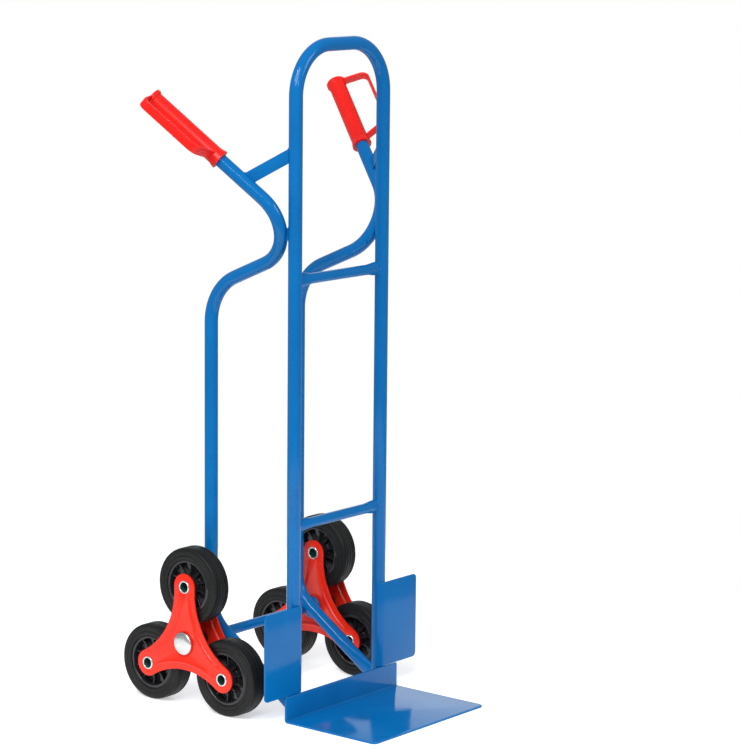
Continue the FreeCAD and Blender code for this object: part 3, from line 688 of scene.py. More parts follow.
@dataclass(frozen=True)
class WeldBead:
    """A painted weld: a row of overlapping drops melted together."""

    radius: float = 2.2 * MM
    pitch: float = 2.4 * MM
    grain: float = 0.7 * MM

    def lay(self, name: str, lines: Sequence[Sequence[Vector]]) -> None:
        """Lay drops along some lines, melt them into one piece and paint it.

        Args:
            name: The piece's name.
            lines: Each line's points, joined by straight runs.
        """
        piece = start_point(name, lines[0][0])
        with editing(piece):
            for line in lines:
                for at in self.drops(line):
                    bpy.ops.mesh.primitive_ico_sphere_add(
                        subdivisions=2, radius=self.radius, location=at
                    )
            take_all()
            bpy.ops.mesh.delete_loose()
        add_modifier(piece, "REMESH", mode="VOXEL", voxel_size=self.grain)
        add_modifier(piece, "SMOOTH", factor=0.5, iterations=2)
        smooth(piece, 80)
        dress(piece, BLUE_POWDER_COAT, "frame")

    def drops(self, line: Sequence[Vector]) -> list[Vector]:
        """Points one pitch apart along a line."""
        found = [line[0]]
        for before, after in zip(line, line[1:]):
            count = max(1, round((after - before).length / self.pitch))
            found += [before.lerp(after, step / count) for step in range(1, count + 1)]
        return found


# ---------------------------------------------------------------- back frame


@dataclass
class BackFrame:
    """The bent main tube and the two cross tubes welded between its uprights.

    The cross tubes' ends are squashed to flat_thickness and flat_height times their
    diameter, and reach end_depth into the uprights.
    """

    tube_radius: float = 13.25 * MM
    tube_wall: float = 2.0 * MM
    top_bend: float = 95.0 * MM
    cross_radius: float = 10.0 * MM
    flat_thickness: float = 0.62
    flat_height: float = 1.33
    end_depth: float = 1.8 * MM
    offset: float = field(init=False)
    middle_y: float = field(init=False)
    foot: float = field(init=False)
    top: float = field(init=False)

    def __post_init__(self) -> None:
        """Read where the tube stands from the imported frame."""
        low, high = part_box("main_tube")
        self.offset = high.x - self.tube_radius
        self.middle_y = (low.y + high.y) / 2
        self.foot = low.z
        self.top = high.z - self.tube_radius

    def build(self) -> None:
        """Make and dress the tubes and their welds."""
        self.main_tube()
        welds: list[list[Vector]] = []
        for name in ("upper_crossbar", "lower_crossbar"):
            height = middle_of(name).z
            self.cross_tube(name, height)
            welds += [self.cross_weld(side, height) for side in Side]
        WeldBead().lay("crossbar_welds", welds)

    def main_tube(self) -> None:
        """One tube from foot to foot over the top."""
        across = self.offset
        turns = ((-across, self.foot), (-across, self.top), (across, self.top), (across, self.foot))
        corners = [Vector((x, self.middle_y, z)) for x, z in turns]
        tube = bent_tube("back_frame_tube", corners, [self.top_bend] * 2, self.tube_radius, 56)
        give_wall(tube, self.tube_wall)
        break_edges(tube, 0.3 * MM)
        smooth(tube)
        dress(tube, BLUE_POWDER_COAT, "frame", "main_tube")

    def cross_tube(self, node: str, height: float) -> None:
        """A round tube whose ends are squashed flat where they are welded."""
        reach = self.offset - self.tube_radius + self.end_depth
        # distance from the end and how much of the squash is left there
        steps = [(0, 1.0), (8, 1.0), (14, 0.9), (20, 0.66), (26, 0.36), (32, 0.14), (38, 0.0)]
        stations = [(-reach + d * MM, share) for d, share in steps]
        stations += [(reach - d * MM, share) for d, share in reversed(steps)]
        start = Vector((-reach, self.middle_y, height))
        tube = start_ring(f"{node}_tube", start, X_AXIS, self.cross_radius, 44)
        with editing(tube):
            for (before, _), (after, _) in zip(stations, stations[1:]):
                draw_out(Vector((after - before, 0, 0)))
            for along, share in stations:
                thin = 1.0 + (self.flat_thickness - 1.0) * share
                tall = 1.0 + (self.flat_height - 1.0) * share
                if share:
                    squeeze(
                        lambda p, along=along: abs(p.x - along) < SAME_PLACE,
                        (1.0, thin, tall),
                        Vector((along, self.middle_y, height)),
                    )
        face_outwards(tube)
        give_wall(tube, self.tube_wall)
        smooth(tube, 50)
        dress(tube, BLUE_POWDER_COAT, "frame", node)

    def cross_weld(self, side: Side, height: float) -> list[Vector]:
        """The line of the weld round one squashed end."""
        line = []
        for turn in range(0, 361, 15):
            angle = math.radians(turn)
            along = self.cross_radius * self.flat_thickness * math.cos(angle)
            up = self.cross_radius * self.flat_height * math.sin(angle)
            depth = math.sqrt(self.tube_radius**2 - along**2)
            x = side.value * (self.offset - depth)
            line.append(Vector((x, self.middle_y + along, height + up)))
        return line


@dataclass
class ToePlate:
    """The blade and its upstand, folded from one sheet."""

    frame: BackFrame
    thickness: float = 4.0 * MM
    fold: float = 6.0 * MM
    corner: float = 10.0 * MM
    top_corner: float = 3.0 * MM
    edge: float = 0.8 * MM
    seam_offset: float = 5.2 * MM
    seam_depth: float = 1.2 * MM
    seam_start: float = 12.0 * MM
    seam_stop: float = 2.0 * MM
    low: Vector = field(init=False)
    high: Vector = field(init=False)

    def __post_init__(self) -> None:
        """Read the plate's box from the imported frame."""
        self.low, self.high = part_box("toe_plate")

    def build(self) -> None:
        """Fold, trim, thicken and dress the plate, and weld it on."""
        corners = [
            Vector((self.low.x, self.low.y, self.low.z)),
            Vector((self.low.x, self.high.y, self.low.z)),
            Vector((self.low.x, self.high.y, self.high.z)),
        ]
        plate = start_point("folded_toe_plate", corners[0])
        with editing(plate):
            follow(corners, [self.fold])
            take_all()
            draw_out(Vector((self.high.x - self.low.x, 0, 0)))
            pick(lambda p: p.y < self.low.y + SAME_PLACE)
            round_corners(self.corner, 8)
            pick(lambda p: p.z > self.high.z - SAME_PLACE)
            round_corners(self.top_corner, 4)
            point_out()
        lowest = min(plate.data.polygons, key=lambda face: face.center.z)
        face_along(plate, lowest, -Z_AXIS)
        finish_sheet(plate, self.thickness, self.edge)
        dress(plate, BLUE_POWDER_COAT, "frame", "toe_plate")
        WeldBead().lay("toe_plate_welds", self.weld_lines())

    def weld_lines(self) -> list[list[Vector]]:
        """Both long seams between each upright and the upstand."""
        lines = []
        for side in Side:
            for hand in (-1, 1):
                x = side.value * self.frame.offset + hand * self.seam_offset
                y = self.high.y + self.seam_depth
                ends = (self.seam_start, self.high.z - self.seam_stop)
                lines.append([Vector((x, y, z)) for z in ends])
        return lines


@dataclass
class WheelGuard:
    """A flat sheet beside the toe plate, its inner edge rolled round the upright."""

    frame: BackFrame
    side: Side
    thickness: float = 3.0 * MM
    corner: float = 9.0 * MM
    edge: float = 0.7 * MM
    wrap: float = math.radians(62)
    seam_lift: float = 0.6 * MM
    low: Vector = field(init=False)
    high: Vector = field(init=False)

    def __post_init__(self) -> None:
        """Read the guard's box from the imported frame."""
        self.low, self.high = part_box(f"{self.side.word}_wheel_guard")

    def build(self) -> None:
        """Roll, trim, thicken and dress the guard, and weld it on."""
        way = self.side.value
        outer = self.high.x if way > 0 else self.low.x
        across = way * self.frame.offset
        axis_point = Vector((across, self.frame.middle_y, self.low.z))
        name = f"{self.side.word}_guard_sheet"
        guard = start_point(name, Vector((outer, self.low.y, self.low.z)))
        with editing(guard):
            draw_out(Vector((across - outer, 0, 0)))
            pick(close_to(Vector((across, self.low.y, self.low.z))))
            draw_round(axis_point, Z_AXIS, -way * self.wrap, 12)
            take_all()
            draw_out(Vector((0, 0, self.high.z - self.low.z)))
            pick(lambda p: abs(p.x - outer) < SAME_PLACE)
            round_corners(self.corner, 8)
            point_out()
        flat = max(guard.data.polygons, key=lambda face: abs(face.center.x))
        face_along(guard, flat, -Y_AXIS)
        finish_sheet(guard, self.thickness, self.edge)
        dress(guard, BLUE_POWDER_COAT, "frame", f"{self.side.word}_wheel_guard")
        bead = WeldBead(radius=1.7 * MM, pitch=2.0 * MM, grain=0.6 * MM)
        bead.lay(f"{self.side.word}_guard_welds", self.weld_lines(axis_point))

    def weld_lines(self, axis_point: Vector) -> list[list[Vector]]:
        """The seams round the upright across the top and the bottom of the rolled edge."""
        radius = self.frame.tube_radius + self.seam_lift
        lines = []
        for height in (self.low.z, self.high.z):
            line = []
            for step in range(9):
                turn = math.radians(270) - self.side.value * self.wrap * step / 8
                x = axis_point.x + radius * math.cos(turn)
                y = axis_point.y + radius * math.sin(turn)
                line.append(Vector((x, y, height)))
            lines.append(line)
        return lines


# ---------------------------------------------------------------- handles


@dataclass
class Handle:
    """One long bent tube with its squashed foot, its link plate and its brace."""

    frame: BackFrame
    side: Side
    radius: float = 13.0 * MM
    wall: float = 2.0 * MM
    foot_height: float = 40.0 * MM
    setback: float = 211.0 * MM
    knee_height: float = 165.0 * MM
    knee_bend: float = 78.0 * MM
    shoulder_height: float = 815.0 * MM
    shoulder_bend: float = 100.0 * MM
    nose_reach: float = -39.0 * MM
    nose_height: float = 924.0 * MM
    nose_bend: float = 85.0 * MM
    end_spread: float = 272.0 * MM
    end_setback: float = 236.0 * MM
    end_height: float = 1188.0 * MM
    foot_thickness: float = 0.5
    foot_stretch: float = 1.2
    foot_depth: float = 1.5 * MM
    end_gap: float = 4.0 * MM
    seam_reach: float = 9.0 * MM

    @property
    def across(self) -> float:
        """X of the handle's lower runs."""
        return self.side.value * self.frame.offset

    @property
    def knee(self) -> Vector:
        """Corner between the sloping and the upright run."""
        return Vector((self.across, self.frame.middle_y + self.setback, self.knee_height))

    @property
    def slope(self) -> Vector:
        """Unit vector up the sloping run, from the foot to the knee."""
        rise = self.knee_height - self.foot_height
        return Vector((0, self.setback - 2 * self.frame.tube_radius, rise)).normalized()

    @property
    def nose(self) -> Vector:
        """Corner between the forward run and the grip run."""
        return Vector((self.across, self.frame.middle_y + self.nose_reach, self.nose_height))

    @property
    def end(self) -> Vector:
        """Outer end of the grip."""
        spread = self.side.value * self.end_spread
        return Vector((spread, self.frame.middle_y + self.end_setback, self.end_height))

    @property
    def heading(self) -> Vector:
        """Unit vector along the grip run, towards its end."""
        return (self.end - self.nose).normalized()

    def on_slope(self, y: float) -> Vector:
        """The point of the sloping run's centre line at this Y."""
        return self.knee + self.slope * ((y - self.knee.y) / self.slope.y)

    def build(self) -> None:
        """Bend and dress the tube, then add its link, brace and welds."""
        self.tube()
        word = self.side.word
        for part in ("handle_link", "handle_brace"):
            node = f"{word}_{part}"
            bar = from_node(f"{node}_bar", bpy.data.objects[node])
            break_edges(bar, 0.7 * MM, 2)
            smooth(bar, 35)
            dress(bar, BLUE_POWDER_COAT, "frame", node)
        bead = WeldBead(radius=2.0 * MM, pitch=2.2 * MM)
        bead.lay(f"{word}_handle_welds", self.weld_lines())

    def tube(self) -> None:
        """The handle tube, squashed at its foot and cut upright behind the frame tube."""
        back = self.frame.middle_y + self.frame.tube_radius
        # distance behind the upright and how much of the squash is left there
        steps = [(-22, 1.0), (6, 1.0), (16, 0.93), (26, 0.77), (36, 0.56), (46, 0.34)]
        steps += [(56, 0.16), (66, 0.05), (74, 0.0)]
        stations = [(self.on_slope(back + d * MM), share) for d, share in steps]
        rest = [
            stations[-1][0],
            self.knee,
            Vector((self.across, self.knee.y, self.shoulder_height)),
            self.nose,
            self.end - self.heading * self.end_gap,
        ]
        name = f"{self.side.word}_bent_handle"
        tube = start_ring(name, stations[0][0], self.slope, self.radius, 44)
        with editing(tube):
            for (before, _), (after, _) in zip(stations, stations[1:]):
                draw_out(after - before)
            follow(rest, [self.knee_bend, self.shoulder_bend, self.nose_bend])
            for centre, share in stations[:-1]:
                stretch = 1.0 + (self.foot_stretch - 1.0) * share
                squeeze(
                    lambda p, c=centre: abs((p - c).dot(self.slope)) < SAME_PLACE
                    and (p - c).length < 2 * self.radius,
                    (1.0 + (self.foot_thickness - 1.0) * share, stretch, stretch),
                    centre,
                )
            pick(lambda p: p.z < self.knee_height - self.knee_bend)
            cut_at = (0, back - self.foot_depth, 0)
            bpy.ops.mesh.bisect(plane_co=cut_at, plane_no=Y_AXIS, clear_inner=True)
        face_outwards(tube)
        give_wall(tube, self.wall)
        smooth(tube, 50)
        dress(tube, BLUE_POWDER_COAT, "frame", f"{self.side.word}_handle_tube")

    def weld_lines(self) -> list[list[Vector]]:
        """Round the foot, and across both ends of the link and of the brace."""
        back = self.frame.middle_y + self.frame.tube_radius
        centre = self.on_slope(back)
        oval = []
        for turn in range(0, 361, 20):
            angle = math.radians(turn)
            x = self.radius * self.foot_thickness * math.cos(angle)
            z = self.radius * self.foot_stretch / self.slope.y * math.sin(angle)
            depth = math.sqrt(self.frame.tube_radius**2 - x**2) - self.frame.tube_radius
            oval.append(centre + Vector((x, depth, z)))
        lines = [oval]
        for part in ("handle_link", "handle_brace"):
            lines += self.end_seams(f"{self.side.word}_{part}")
        return lines

    def end_seams(self, node: str) -> list[list[Vector]]:
        """One upright seam across each of the two ends of a small bar."""
        points = [v.co.copy() for v in bpy.data.objects[node].data.vertices]
        middle = sum(points, Vector()) / len(points)
        along = max(points, key=lambda p: (p - middle).length) - middle
        along.z = 0 if node.endswith("link") else along.z
        along = along.normalized()
        reach = [(p - middle).dot(along) for p in points]
        lines = []
        for limit in (min(reach), max(reach)):
            off = [abs((p - middle).dot(along) - limit) for p in points]
            near = [p for p, far in zip(points, off) if far < self.seam_reach]
            lines.append([pole(near, key=lambda p: p.z) for pole in (min, max)])
        return lines


@dataclass
class Grip:
    """A moulded sleeve with a strip that guards the knuckles.

    Its sizes are in millimetres, and turn is in degrees from outboard towards the top.
    """

    handle: Handle
    turn: float
    sleeve: float = 17.0
    collar: float = 20.0
    length: float = 177.0
    bore: float = 13.0
    reach: float = 64.0
    strip_width: float = 18.0
    strip_thickness: float = 4.5
    strip_run: float = 136.0
    strip_edge: float = 1.6
    strip_start: float = 3.6
    root: float = 160.0
    bend: float = 14.0
    root_bend: float = 22.4

    def build(self) -> None:
        """Mould the sleeve and the guard as one piece and push it on the handle."""
        word = self.handle.side.word
        piece = self.sleeve_body(f"{word}_moulded_grip")
        combine(piece, self.knuckle_strip(), "UNION")
        smooth(piece, 30)
        turn_into_place(piece, self.place())
        dress(piece, RED_POLYPROPYLENE, "frame", f"{word}_grip")

    def place(self) -> Matrix:
        """Where the grip sits: X along the handle and Y out to the knuckle guard."""
        heading = self.handle.heading
        way = self.handle.side.value
        outboard = (X_AXIS * way - heading * heading.x * way).normalized()
        upward = outboard.cross(heading)
        if upward.z < 0:
            upward = -upward
        angle = math.radians(self.turn)
        knuckle = outboard * math.cos(angle) + upward * math.sin(angle)
        third = heading.cross(knuckle)
        turn = Matrix((heading, knuckle, third)).transposed().to_4x4()
        return Matrix.Translation(self.handle.end) @ turn

    def sleeve_body(self, name: str) -> bpy.types.Object:
        """The turned sleeve, closed and slightly domed at its outer end."""
        length, bore, collar, sleeve = self.length, self.bore, self.collar, self.sleeve
        profile = [
            (-length, bore, 0.4), (-4.0, bore, 0), (-4.0, 0, 0), (0.0, 0, 0),
            (-0.3, collar * 0.55, 3.0), (-1.4, collar - 1.0, 1.0), (-2.6, collar, 0.6),
            (-9.0, collar, 1.0), (-10.5, sleeve, 0.8), (-length + 13.0, sleeve, 3.0),
            (-length + 6.0, collar - 1.2, 1.5), (-length + 0.6, collar - 0.3, 0.5),
            (-length, collar - 1.0, 0.4),
        ]
        points = profile[2::-1] + profile[:2:-1]
        return turned(name, points, Vector(), 72, closed=False)

    def knuckle_strip(self) -> bpy.types.Object:
        """A flat strip bent out from the top collar, along, and back to the sleeve."""
        inside = (self.bore + self.sleeve) / 2
        top = -self.strip_start
        turns = ((top, inside), (top, self.reach), (-self.strip_run, self.reach))
        corners = [Vector((x, y, 0)) * MM for x, y in (*turns, (-self.root, inside))]
        deselect_all()
        bpy.ops.mesh.primitive_plane_add(
            size=1, location=corners[0], rotation=(math.radians(90), 0, 0)
        )
        strip = bpy.context.object
        strip.name = "knuckle_strip"
        strip.scale = (self.strip_thickness * MM, self.strip_width * MM, 1)
        fix_place(strip)
        with editing(strip):
            round_corners(self.strip_edge * MM, 4)
            take_all()
            follow(corners, [self.bend * MM, self.root_bend * MM])
            point_out()
        return strip


# ---------------------------------------------------------------- axle and stars


# Profiles outwards from an inner face: along, radius and corner rounding, in millimetres.
# The boss is welded to the tube end and has a sloping shoulder.
BOSS_PROFILE = ((0, 9.9, 0), (8, 9.9, 0.3), (8, 23, 0.8), (3.2, 23, 1.0), (0, 14, 1.5))
# The plain washer runs between the boss and the star.
WASHER_PROFILE = ((0, 8, 0.2), (2, 8, 0.2), (2, 18, 0.5), (0, 18, 0.5))
# The domed cap is pushed over the axle end and has a rolled rim.
CAP_PROFILE = (
    (9.0, 0, 0), (8.9, 6, 0), (8.6, 11, 0), (8.1, 15, 0), (7.4, 18, 0), (6.5, 20.3, 0),
    (5.2, 21.9, 0.6), (3.4, 22.5, 0.6), (0.3, 22.5, 0.3), (0, 21.9, 0.3), (0.3, 21, 0),
    (3.4, 21, 0), (6.0, 16, 0), (6.8, 10.0, 0), (6.8, 8.2, 0), (5.4, 8.2, 0), (5.4, 0, 0),
)


@dataclass
class Axle:
    """The cross tube with its bosses, the solid axle, the washers and the caps."""

    centre: Vector = field(init=False)
    half: float = field(init=False)

    def __post_init__(self) -> None:
        """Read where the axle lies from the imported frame."""
        self.centre = middle_of("axle_tube")
        self.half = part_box("axle_tube")[1].x / MM

    def build(self) -> None:
        """Make and dress everything on the axle line."""
        half = self.half
        tube = turned(
            "axle_cross_tube",
            [(-half, 8.1, 0.3), (half, 8.1, 0.3), (half, 10, 0.4), (-half, 10, 0.4)],
            self.centre,
        )
        dress(tube, BLUE_POWDER_COAT, "frame", "axle_tube")
        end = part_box("axle_rod")[1].x / MM
        rod = turned(
            "solid_axle", [(-end, 0, 0), (-end, 8, 0.8), (end, 8, 0.8), (end, 0, 0)],
            self.centre, 48, closed=False,
        )
        dress(rod, ZINC_PLATE, "frame", "axle_rod")
        for side in Side:
            self.fit(side, "axle_boss", "thrust_boss", BLUE_POWDER_COAT, BOSS_PROFILE)
            self.fit(side, "thrust_washer", "plain_washer", ZINC_PLATE, WASHER_PROFILE)
            self.fit(side, "axle_cap", "domed_cap", CAP_STEEL, CAP_PROFILE, False, 80)

    def fit(
        self, side: Side, part: str, word: str, finish: Finish,
        profile: Profile, closed: bool = True, steps: int = 64,
    ) -> None:
        """Turn and dress one piece at an axle end.

        Args:
            side: The end it goes on.
            part: Its node's name, without the side.
            word: Its own name, without the side.
            finish: Its surface.
            profile: Its profile, measured outwards from the node's inner face.
            closed: Whether the last point of the profile joins the first.
            steps: How many facets go round.
        """
        node = f"{side.word}_{part}"
        low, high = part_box(node)
        start = low.x if side.value > 0 else high.x
        placed = [(a * side.value, r, c) for a, r, c in profile]
        centre = Vector((start, self.centre.y, self.centre.z))
        piece = turned(f"{side.word}_{word}", placed, centre, steps, closed)
        dress(piece, finish, "frame", node)


@dataclass
class Star:
    """Two pressed plates on a bush, with sizes in millimetres and angles in degrees.

    The bead's rings are found to within ring_slack, and tip_share of its height is left
    where it fades out.
    """

    side: Side
    arm: float = 111.5
    tip: float = 26.0
    waist: float = 53.0
    thickness: float = 3.0
    axle_hole: float = 11.0
    bush_radius: float = 14.08
    bead_inset: float = 15.0
    bead_half: float = 2.8
    bead_height: float = 3.0
    bead_reach: float = 27.0
    bead_fade: float = 5.0
    drill_depth: float = 30.0
    ring_slack: float = 0.35
    tip_share: float = 0.55

    @property
    def body(self) -> str:
        """The body that the star rides on."""
        return f"{self.side.word}_star"

    @property
    def hollow(self) -> float:
        """Star centre to the centre of a hollow side's arc."""
        inner = self.waist - self.tip
        return (self.arm**2 - inner**2) / (self.arm - 2 * inner)

    def build(self) -> None:
        """Make and dress the plates and the bush."""
        word = self.side.word
        middle = middle_of(f"{word}_star_bush")
        for place, sign in (("outer", 1), ("inner", -1)):
            node = f"{word}_star_{place}_plate"
            low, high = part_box(node)
            outside = self.side.value * sign
            face = low.x if outside > 0 else high.x
            centre = Vector((face, middle.y, middle.z))
            plate = self.plate(f"{word}_{place}_pressed_plate", centre, outside)
            dress(plate, RED_POWDER_COAT, self.body, node)
        half = (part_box(f"{word}_star_bush")[1].x - middle.x) / MM
        bush = turned(
            f"{word}_star_sleeve",
            [(-half, 8.08, 0.3), (half, 8.08, 0.3), (half, 14.0, 0.5), (-half, 14.0, 0.5)],
            middle,
        )
        dress(bush, BLACK_NYLON, self.body, f"{word}_star_bush")

    def plate(self, name: str, centre: Vector, outside: int) -> bpy.types.Object:
        """One plate: its outline drawn by arcs, filled, pressed, thickened and drilled.

        Args:
            name: The piece's name.
            centre: Middle of the plate's inner face.
            outside: Which way along X the pressed beads stand.

        Returns:
            The finished plate.
        """
        start = centre + round_x(Arm.TOP.value - 60) * self.waist * MM
        reach = self.hollow - self.waist + self.tip
        half_side = math.asin(self.arm * math.sin(math.radians(60)) / reach)
        round_tip = math.tau - 2 * (math.pi - math.radians(60) - half_side)
        plate = start_point(name, start)
        with editing(plate):
            for arm in Arm:
                before = centre + round_x(arm.value - 60) * self.hollow * MM
                after = centre + round_x(arm.value + 60) * self.hollow * MM
                end = centre + arm.way * self.arm * MM
                draw_round(before, X_AXIS, -half_side, 12)
                draw_round(end, X_AXIS, round_tip, 20)
                draw_round(after, X_AXIS, -half_side, 12)
            take_all()
            bpy.ops.mesh.remove_doubles(threshold=SAME_PLACE)
            bpy.ops.mesh.edge_face_add()
            for step in self.bead_steps():
                bpy.ops.mesh.inset(thickness=step * MM, use_even_offset=True)
            self.press_beads(centre, outside)
            point_out()
        widest = max(plate.data.polygons, key=lambda face: face.area)
        face_along(plate, widest, X_AXIS * outside)
        add_modifier(plate, "SOLIDIFY", thickness=self.thickness * MM, offset=1.0)
        self.drill(plate, centre)
        break_edges(plate, 0.8 * MM, 3)
        smooth(plate, 32)
        return plate

    def bead_steps(self) -> list[float]:
        """Widths of the rings inset from the outline, up to past the bead."""
        return [self.bead_inset - self.bead_half] + [self.bead_half / 3] * 6

    def press_beads(self, centre: Vector, outside: int) -> None:
        """Raise a rounded bead along each hollow side, fading out near the tips.

        Args:
            centre: Middle of the plate's face.
            outside: Which way along X the beads stand.
        """
        # the share of the full height at each ring across the bead
        rises = (0.45, 0.84, 1.0, 0.84, 0.45)
        reach, fade = math.radians(self.bead_reach), math.radians(self.bead_fade)
        bands = ((0.0, reach - fade, 1.0), (reach - fade, reach, self.tip_share))
        outline = self.hollow - self.waist
        for arm in Arm:
            hub = centre + round_x(arm.value - 60) * self.hollow * MM
            for ring, rise in enumerate(rises, start=1):
                inset = self.bead_inset - self.bead_half + ring * self.bead_half / 3
                radius = (outline + inset) * MM
                for low, high, share in bands:
                    if pick(self.on_arc(hub, centre, radius, low, high)):
                        move = X_AXIS * outside * rise * share * self.bead_height * MM
                        bpy.ops.transform.translate(value=tuple(move))

    def on_arc(
        self, hub: Vector, centre: Vector, radius: float, low: float, high: float
    ) -> PlaceTest:
        """A test for vertices on a circle round a hub, by their angle off the centre."""
        toward = centre - hub

        def wanted(point: Vector) -> bool:
            """Whether a vertex lies on the stretch of circle."""
            spoke = point - hub
            near = abs(spoke.length - radius) < self.ring_slack * MM
            return near and low <= spoke.angle(toward) < high

        return wanted

    def drill(self, plate: bpy.types.Object, centre: Vector) -> None:
        """Cut the three axle holes and the bush hole."""
        holes = [(arm.way * self.arm, self.axle_hole) for arm in Arm]
        holes.append((Vector(), self.bush_radius))
        for offset, radius in holes:
            deselect_all()
            bpy.ops.mesh.primitive_cylinder_add(
                vertices=48, radius=radius * MM, depth=self.drill_depth * MM,
                location=centre + offset * MM, rotation=(0, math.radians(90), 0),
            )
            drill = bpy.context.object
            fix_place(drill)
            combine(plate, drill, "DIFFERENCE")


@dataclass
class WheelSet:
    """The parts of one wheel and its axle, made once and copied to every arm.

    Rib sizes are in millimetres: rib_middle is the radius of a rib's middle.
    """

    steps: int = 96
    ribs: int = 10
    rib_width: float = 27.0
    rib_thickness: float = 3.0
    rib_length: float = 27.4
    rib_middle: float = 33.4
    bore_limit: float = 9.55 * MM

    def build(self) -> None:
        """Make the masters at the origin, and a dressed copy of each for every arm."""
        masters = {
            "axle": (self.riveted_axle(), "hollow_axle", ZINC_PLATE),
            "tyre": (self.tyre(), "solid_tyre", TYRE_RUBBER),
            "rim": (self.rim(), "ribbed_rim", BLACK_POLYPROPYLENE),
            "bush": (self.bush(), "wheel_bush", BLACK_NYLON),
        }
        for part, (master, word, finish) in masters.items():
            for side in Side:
                for arm in Arm:
                    node = f"{side.word}_{part}_{arm.word}"
                    middle = middle_of(node)
                    piece = copy_of(master, f"{side.word}_{word}_{arm.word}", middle)
                    wheel = f"{side.word}_wheel_{arm.word}"
                    dress(piece, finish, f"{side.word}_star" if part == "axle" else wheel, node)
                    # the bore of each hollow axle gets painted shade and painted reflection
                    if part == "axle":
                        self.darken_bore(piece, middle)
            bpy.data.objects.remove(master)

    def darken_bore(self, piece: bpy.types.Object, centre: Vector) -> None:
        """Colour the inside of a hollow axle dark green-teal, as painted shade and reflection in
        the bore.
        """
        piece.data.materials.append(PAINTED_BORE_SHADE.material())
        for face in piece.data.polygons:
            arm = face.center - centre
            if Vector((0, arm.y, arm.z)).length < self.bore_limit:
                face.material_index = 1

    def riveted_axle(self) -> bpy.types.Object:
        """A hollow axle whose ends are rolled over the star plates."""
        seat, end = 28.0, 29.6
        half = [
            (seat, 11.0, 0), (seat, 13.0, 0.5), (end - 0.2, 12.4, 0.7), (end, 11.2, 0.8),
            (end - 0.3, 9.7, 0.6), (end - 2.2, 9.5, 0.4),
        ]
        return turned("axle_master", both_ways(half), Vector(), 64)

    def tyre(self) -> bpy.types.Object:
        """Solid tyre with stepped side walls and grooves round its tread."""
        half = [
            (18.4, 53.0, 0), (19.6, 54.6, 0.6), (20.0, 56.5, 0.6), (20.0, 59.6, 0.3),
            (19.1, 60.4, 0.3), (19.1, 61.6, 0.3), (20.0, 62.4, 0.3), (20.0, 69.8, 1.2),
            (18.8, 73.3, 1.0), (15.8, 74.6, 0.6), (14.6, 74.7, 0.2), (14.0, 72.9, 0.25),
            (12.9, 72.9, 0.25), (12.3, 75.0, 0.3), (9.2, 75.0, 0.3), (8.6, 73.0, 0.25),
            (7.5, 73.0, 0.25), (6.9, 75.0, 0.3), (0.9, 75.0, 0.2), (0.4, 73.8, 0.15),
        ]
        return turned("tyre_master", both_ways(half), Vector(), self.steps)

    def rim(self) -> bpy.types.Object:
        """Barrel, web and hub turned in one, with thin ribs on both faces."""
        half = [
            (24.0, 14.08, 0.4), (24.0, 18.6, 0.6), (23.0, 20.0, 0.8), (2.0, 20.6, 1.5),
            (2.0, 44.6, 1.5), (15.6, 45.6, 0.8), (18.6, 46.8, 1.0), (19.0, 49.2, 0.9),
            (18.0, 51.6, 0.7), (17.4, 52.9, 0.3),
        ]
        body = turned("rim_master", both_ways(half), Vector(), self.steps)
        ribs = self.rim_ribs()
        select_only(body)
        ribs.select_set(True)
        bpy.ops.object.join()
        smooth(body, 35)
        return body

    def rim_ribs(self) -> bpy.types.Object:
        """Thin radial ribs, each rounded at its edges and dipped towards its middle."""
        deselect_all()
        middle = Vector((0, 0, self.rib_middle)) * MM
        bpy.ops.mesh.primitive_cube_add(size=1, location=middle)
        ribs = bpy.context.object
        ribs.scale = Vector((self.rib_width, self.rib_thickness, self.rib_length)) * MM
        fix_place(ribs)
        with editing(ribs):
            bpy.ops.mesh.bevel(offset=1.1 * MM, segments=3)
            for height in (29, 38):
                take_all()
                bpy.ops.mesh.bisect(plane_co=(0, 0, height * MM), plane_no=Z_AXIS)
            squeeze(lambda p: 25 * MM < p.z < 42 * MM, (0.8, 1, 1), middle)
            for index in range(1, self.ribs):
                pick(lambda p: abs(p.y) < 1.6 * MM and p.z > 0)
                bpy.ops.mesh.duplicate()
                turn = math.tau * index / self.ribs
                bpy.ops.transform.rotate(
                    value=turn, orient_axis="X", center_override=(0, 0, 0)
                )
        return ribs

    def bush(self) -> bpy.types.Object:
        """The nylon bush in a hub, a little proud of it at both ends."""
        profile = [(-24.5, 11.08, 0.2), (24.5, 11.08, 0.2), (24.5, 14.0, 0.4), (-24.5, 14.0, 0.4)]
        return turned("bush_master", profile, Vector(), 48)


# ---------------------------------------------------------------- studio


@dataclass(frozen=True)
class SoftBox:
    """A soft rectangular studio light."""

    name: str
    place: tuple[float, float, float]
    aim: tuple[float, float, float]
    width: float
    height: float
    watts: float

    def build(self) -> None:
        """Hang the light and point it at its aim."""
        data = bpy.data.lights.new(self.name, "AREA")
        data.shape = "RECTANGLE"
        data.size = self.width
        data.size_y = self.height
        data.energy = self.watts
        lamp = bpy.data.objects.new(self.name, data)
        lamp.location = self.place
        way = Vector(self.aim) - Vector(self.place)
        lamp.rotation_euler = way.to_track_quat("-Z", "Y").to_euler()
        bpy.context.scene.collection.objects.link(lamp)


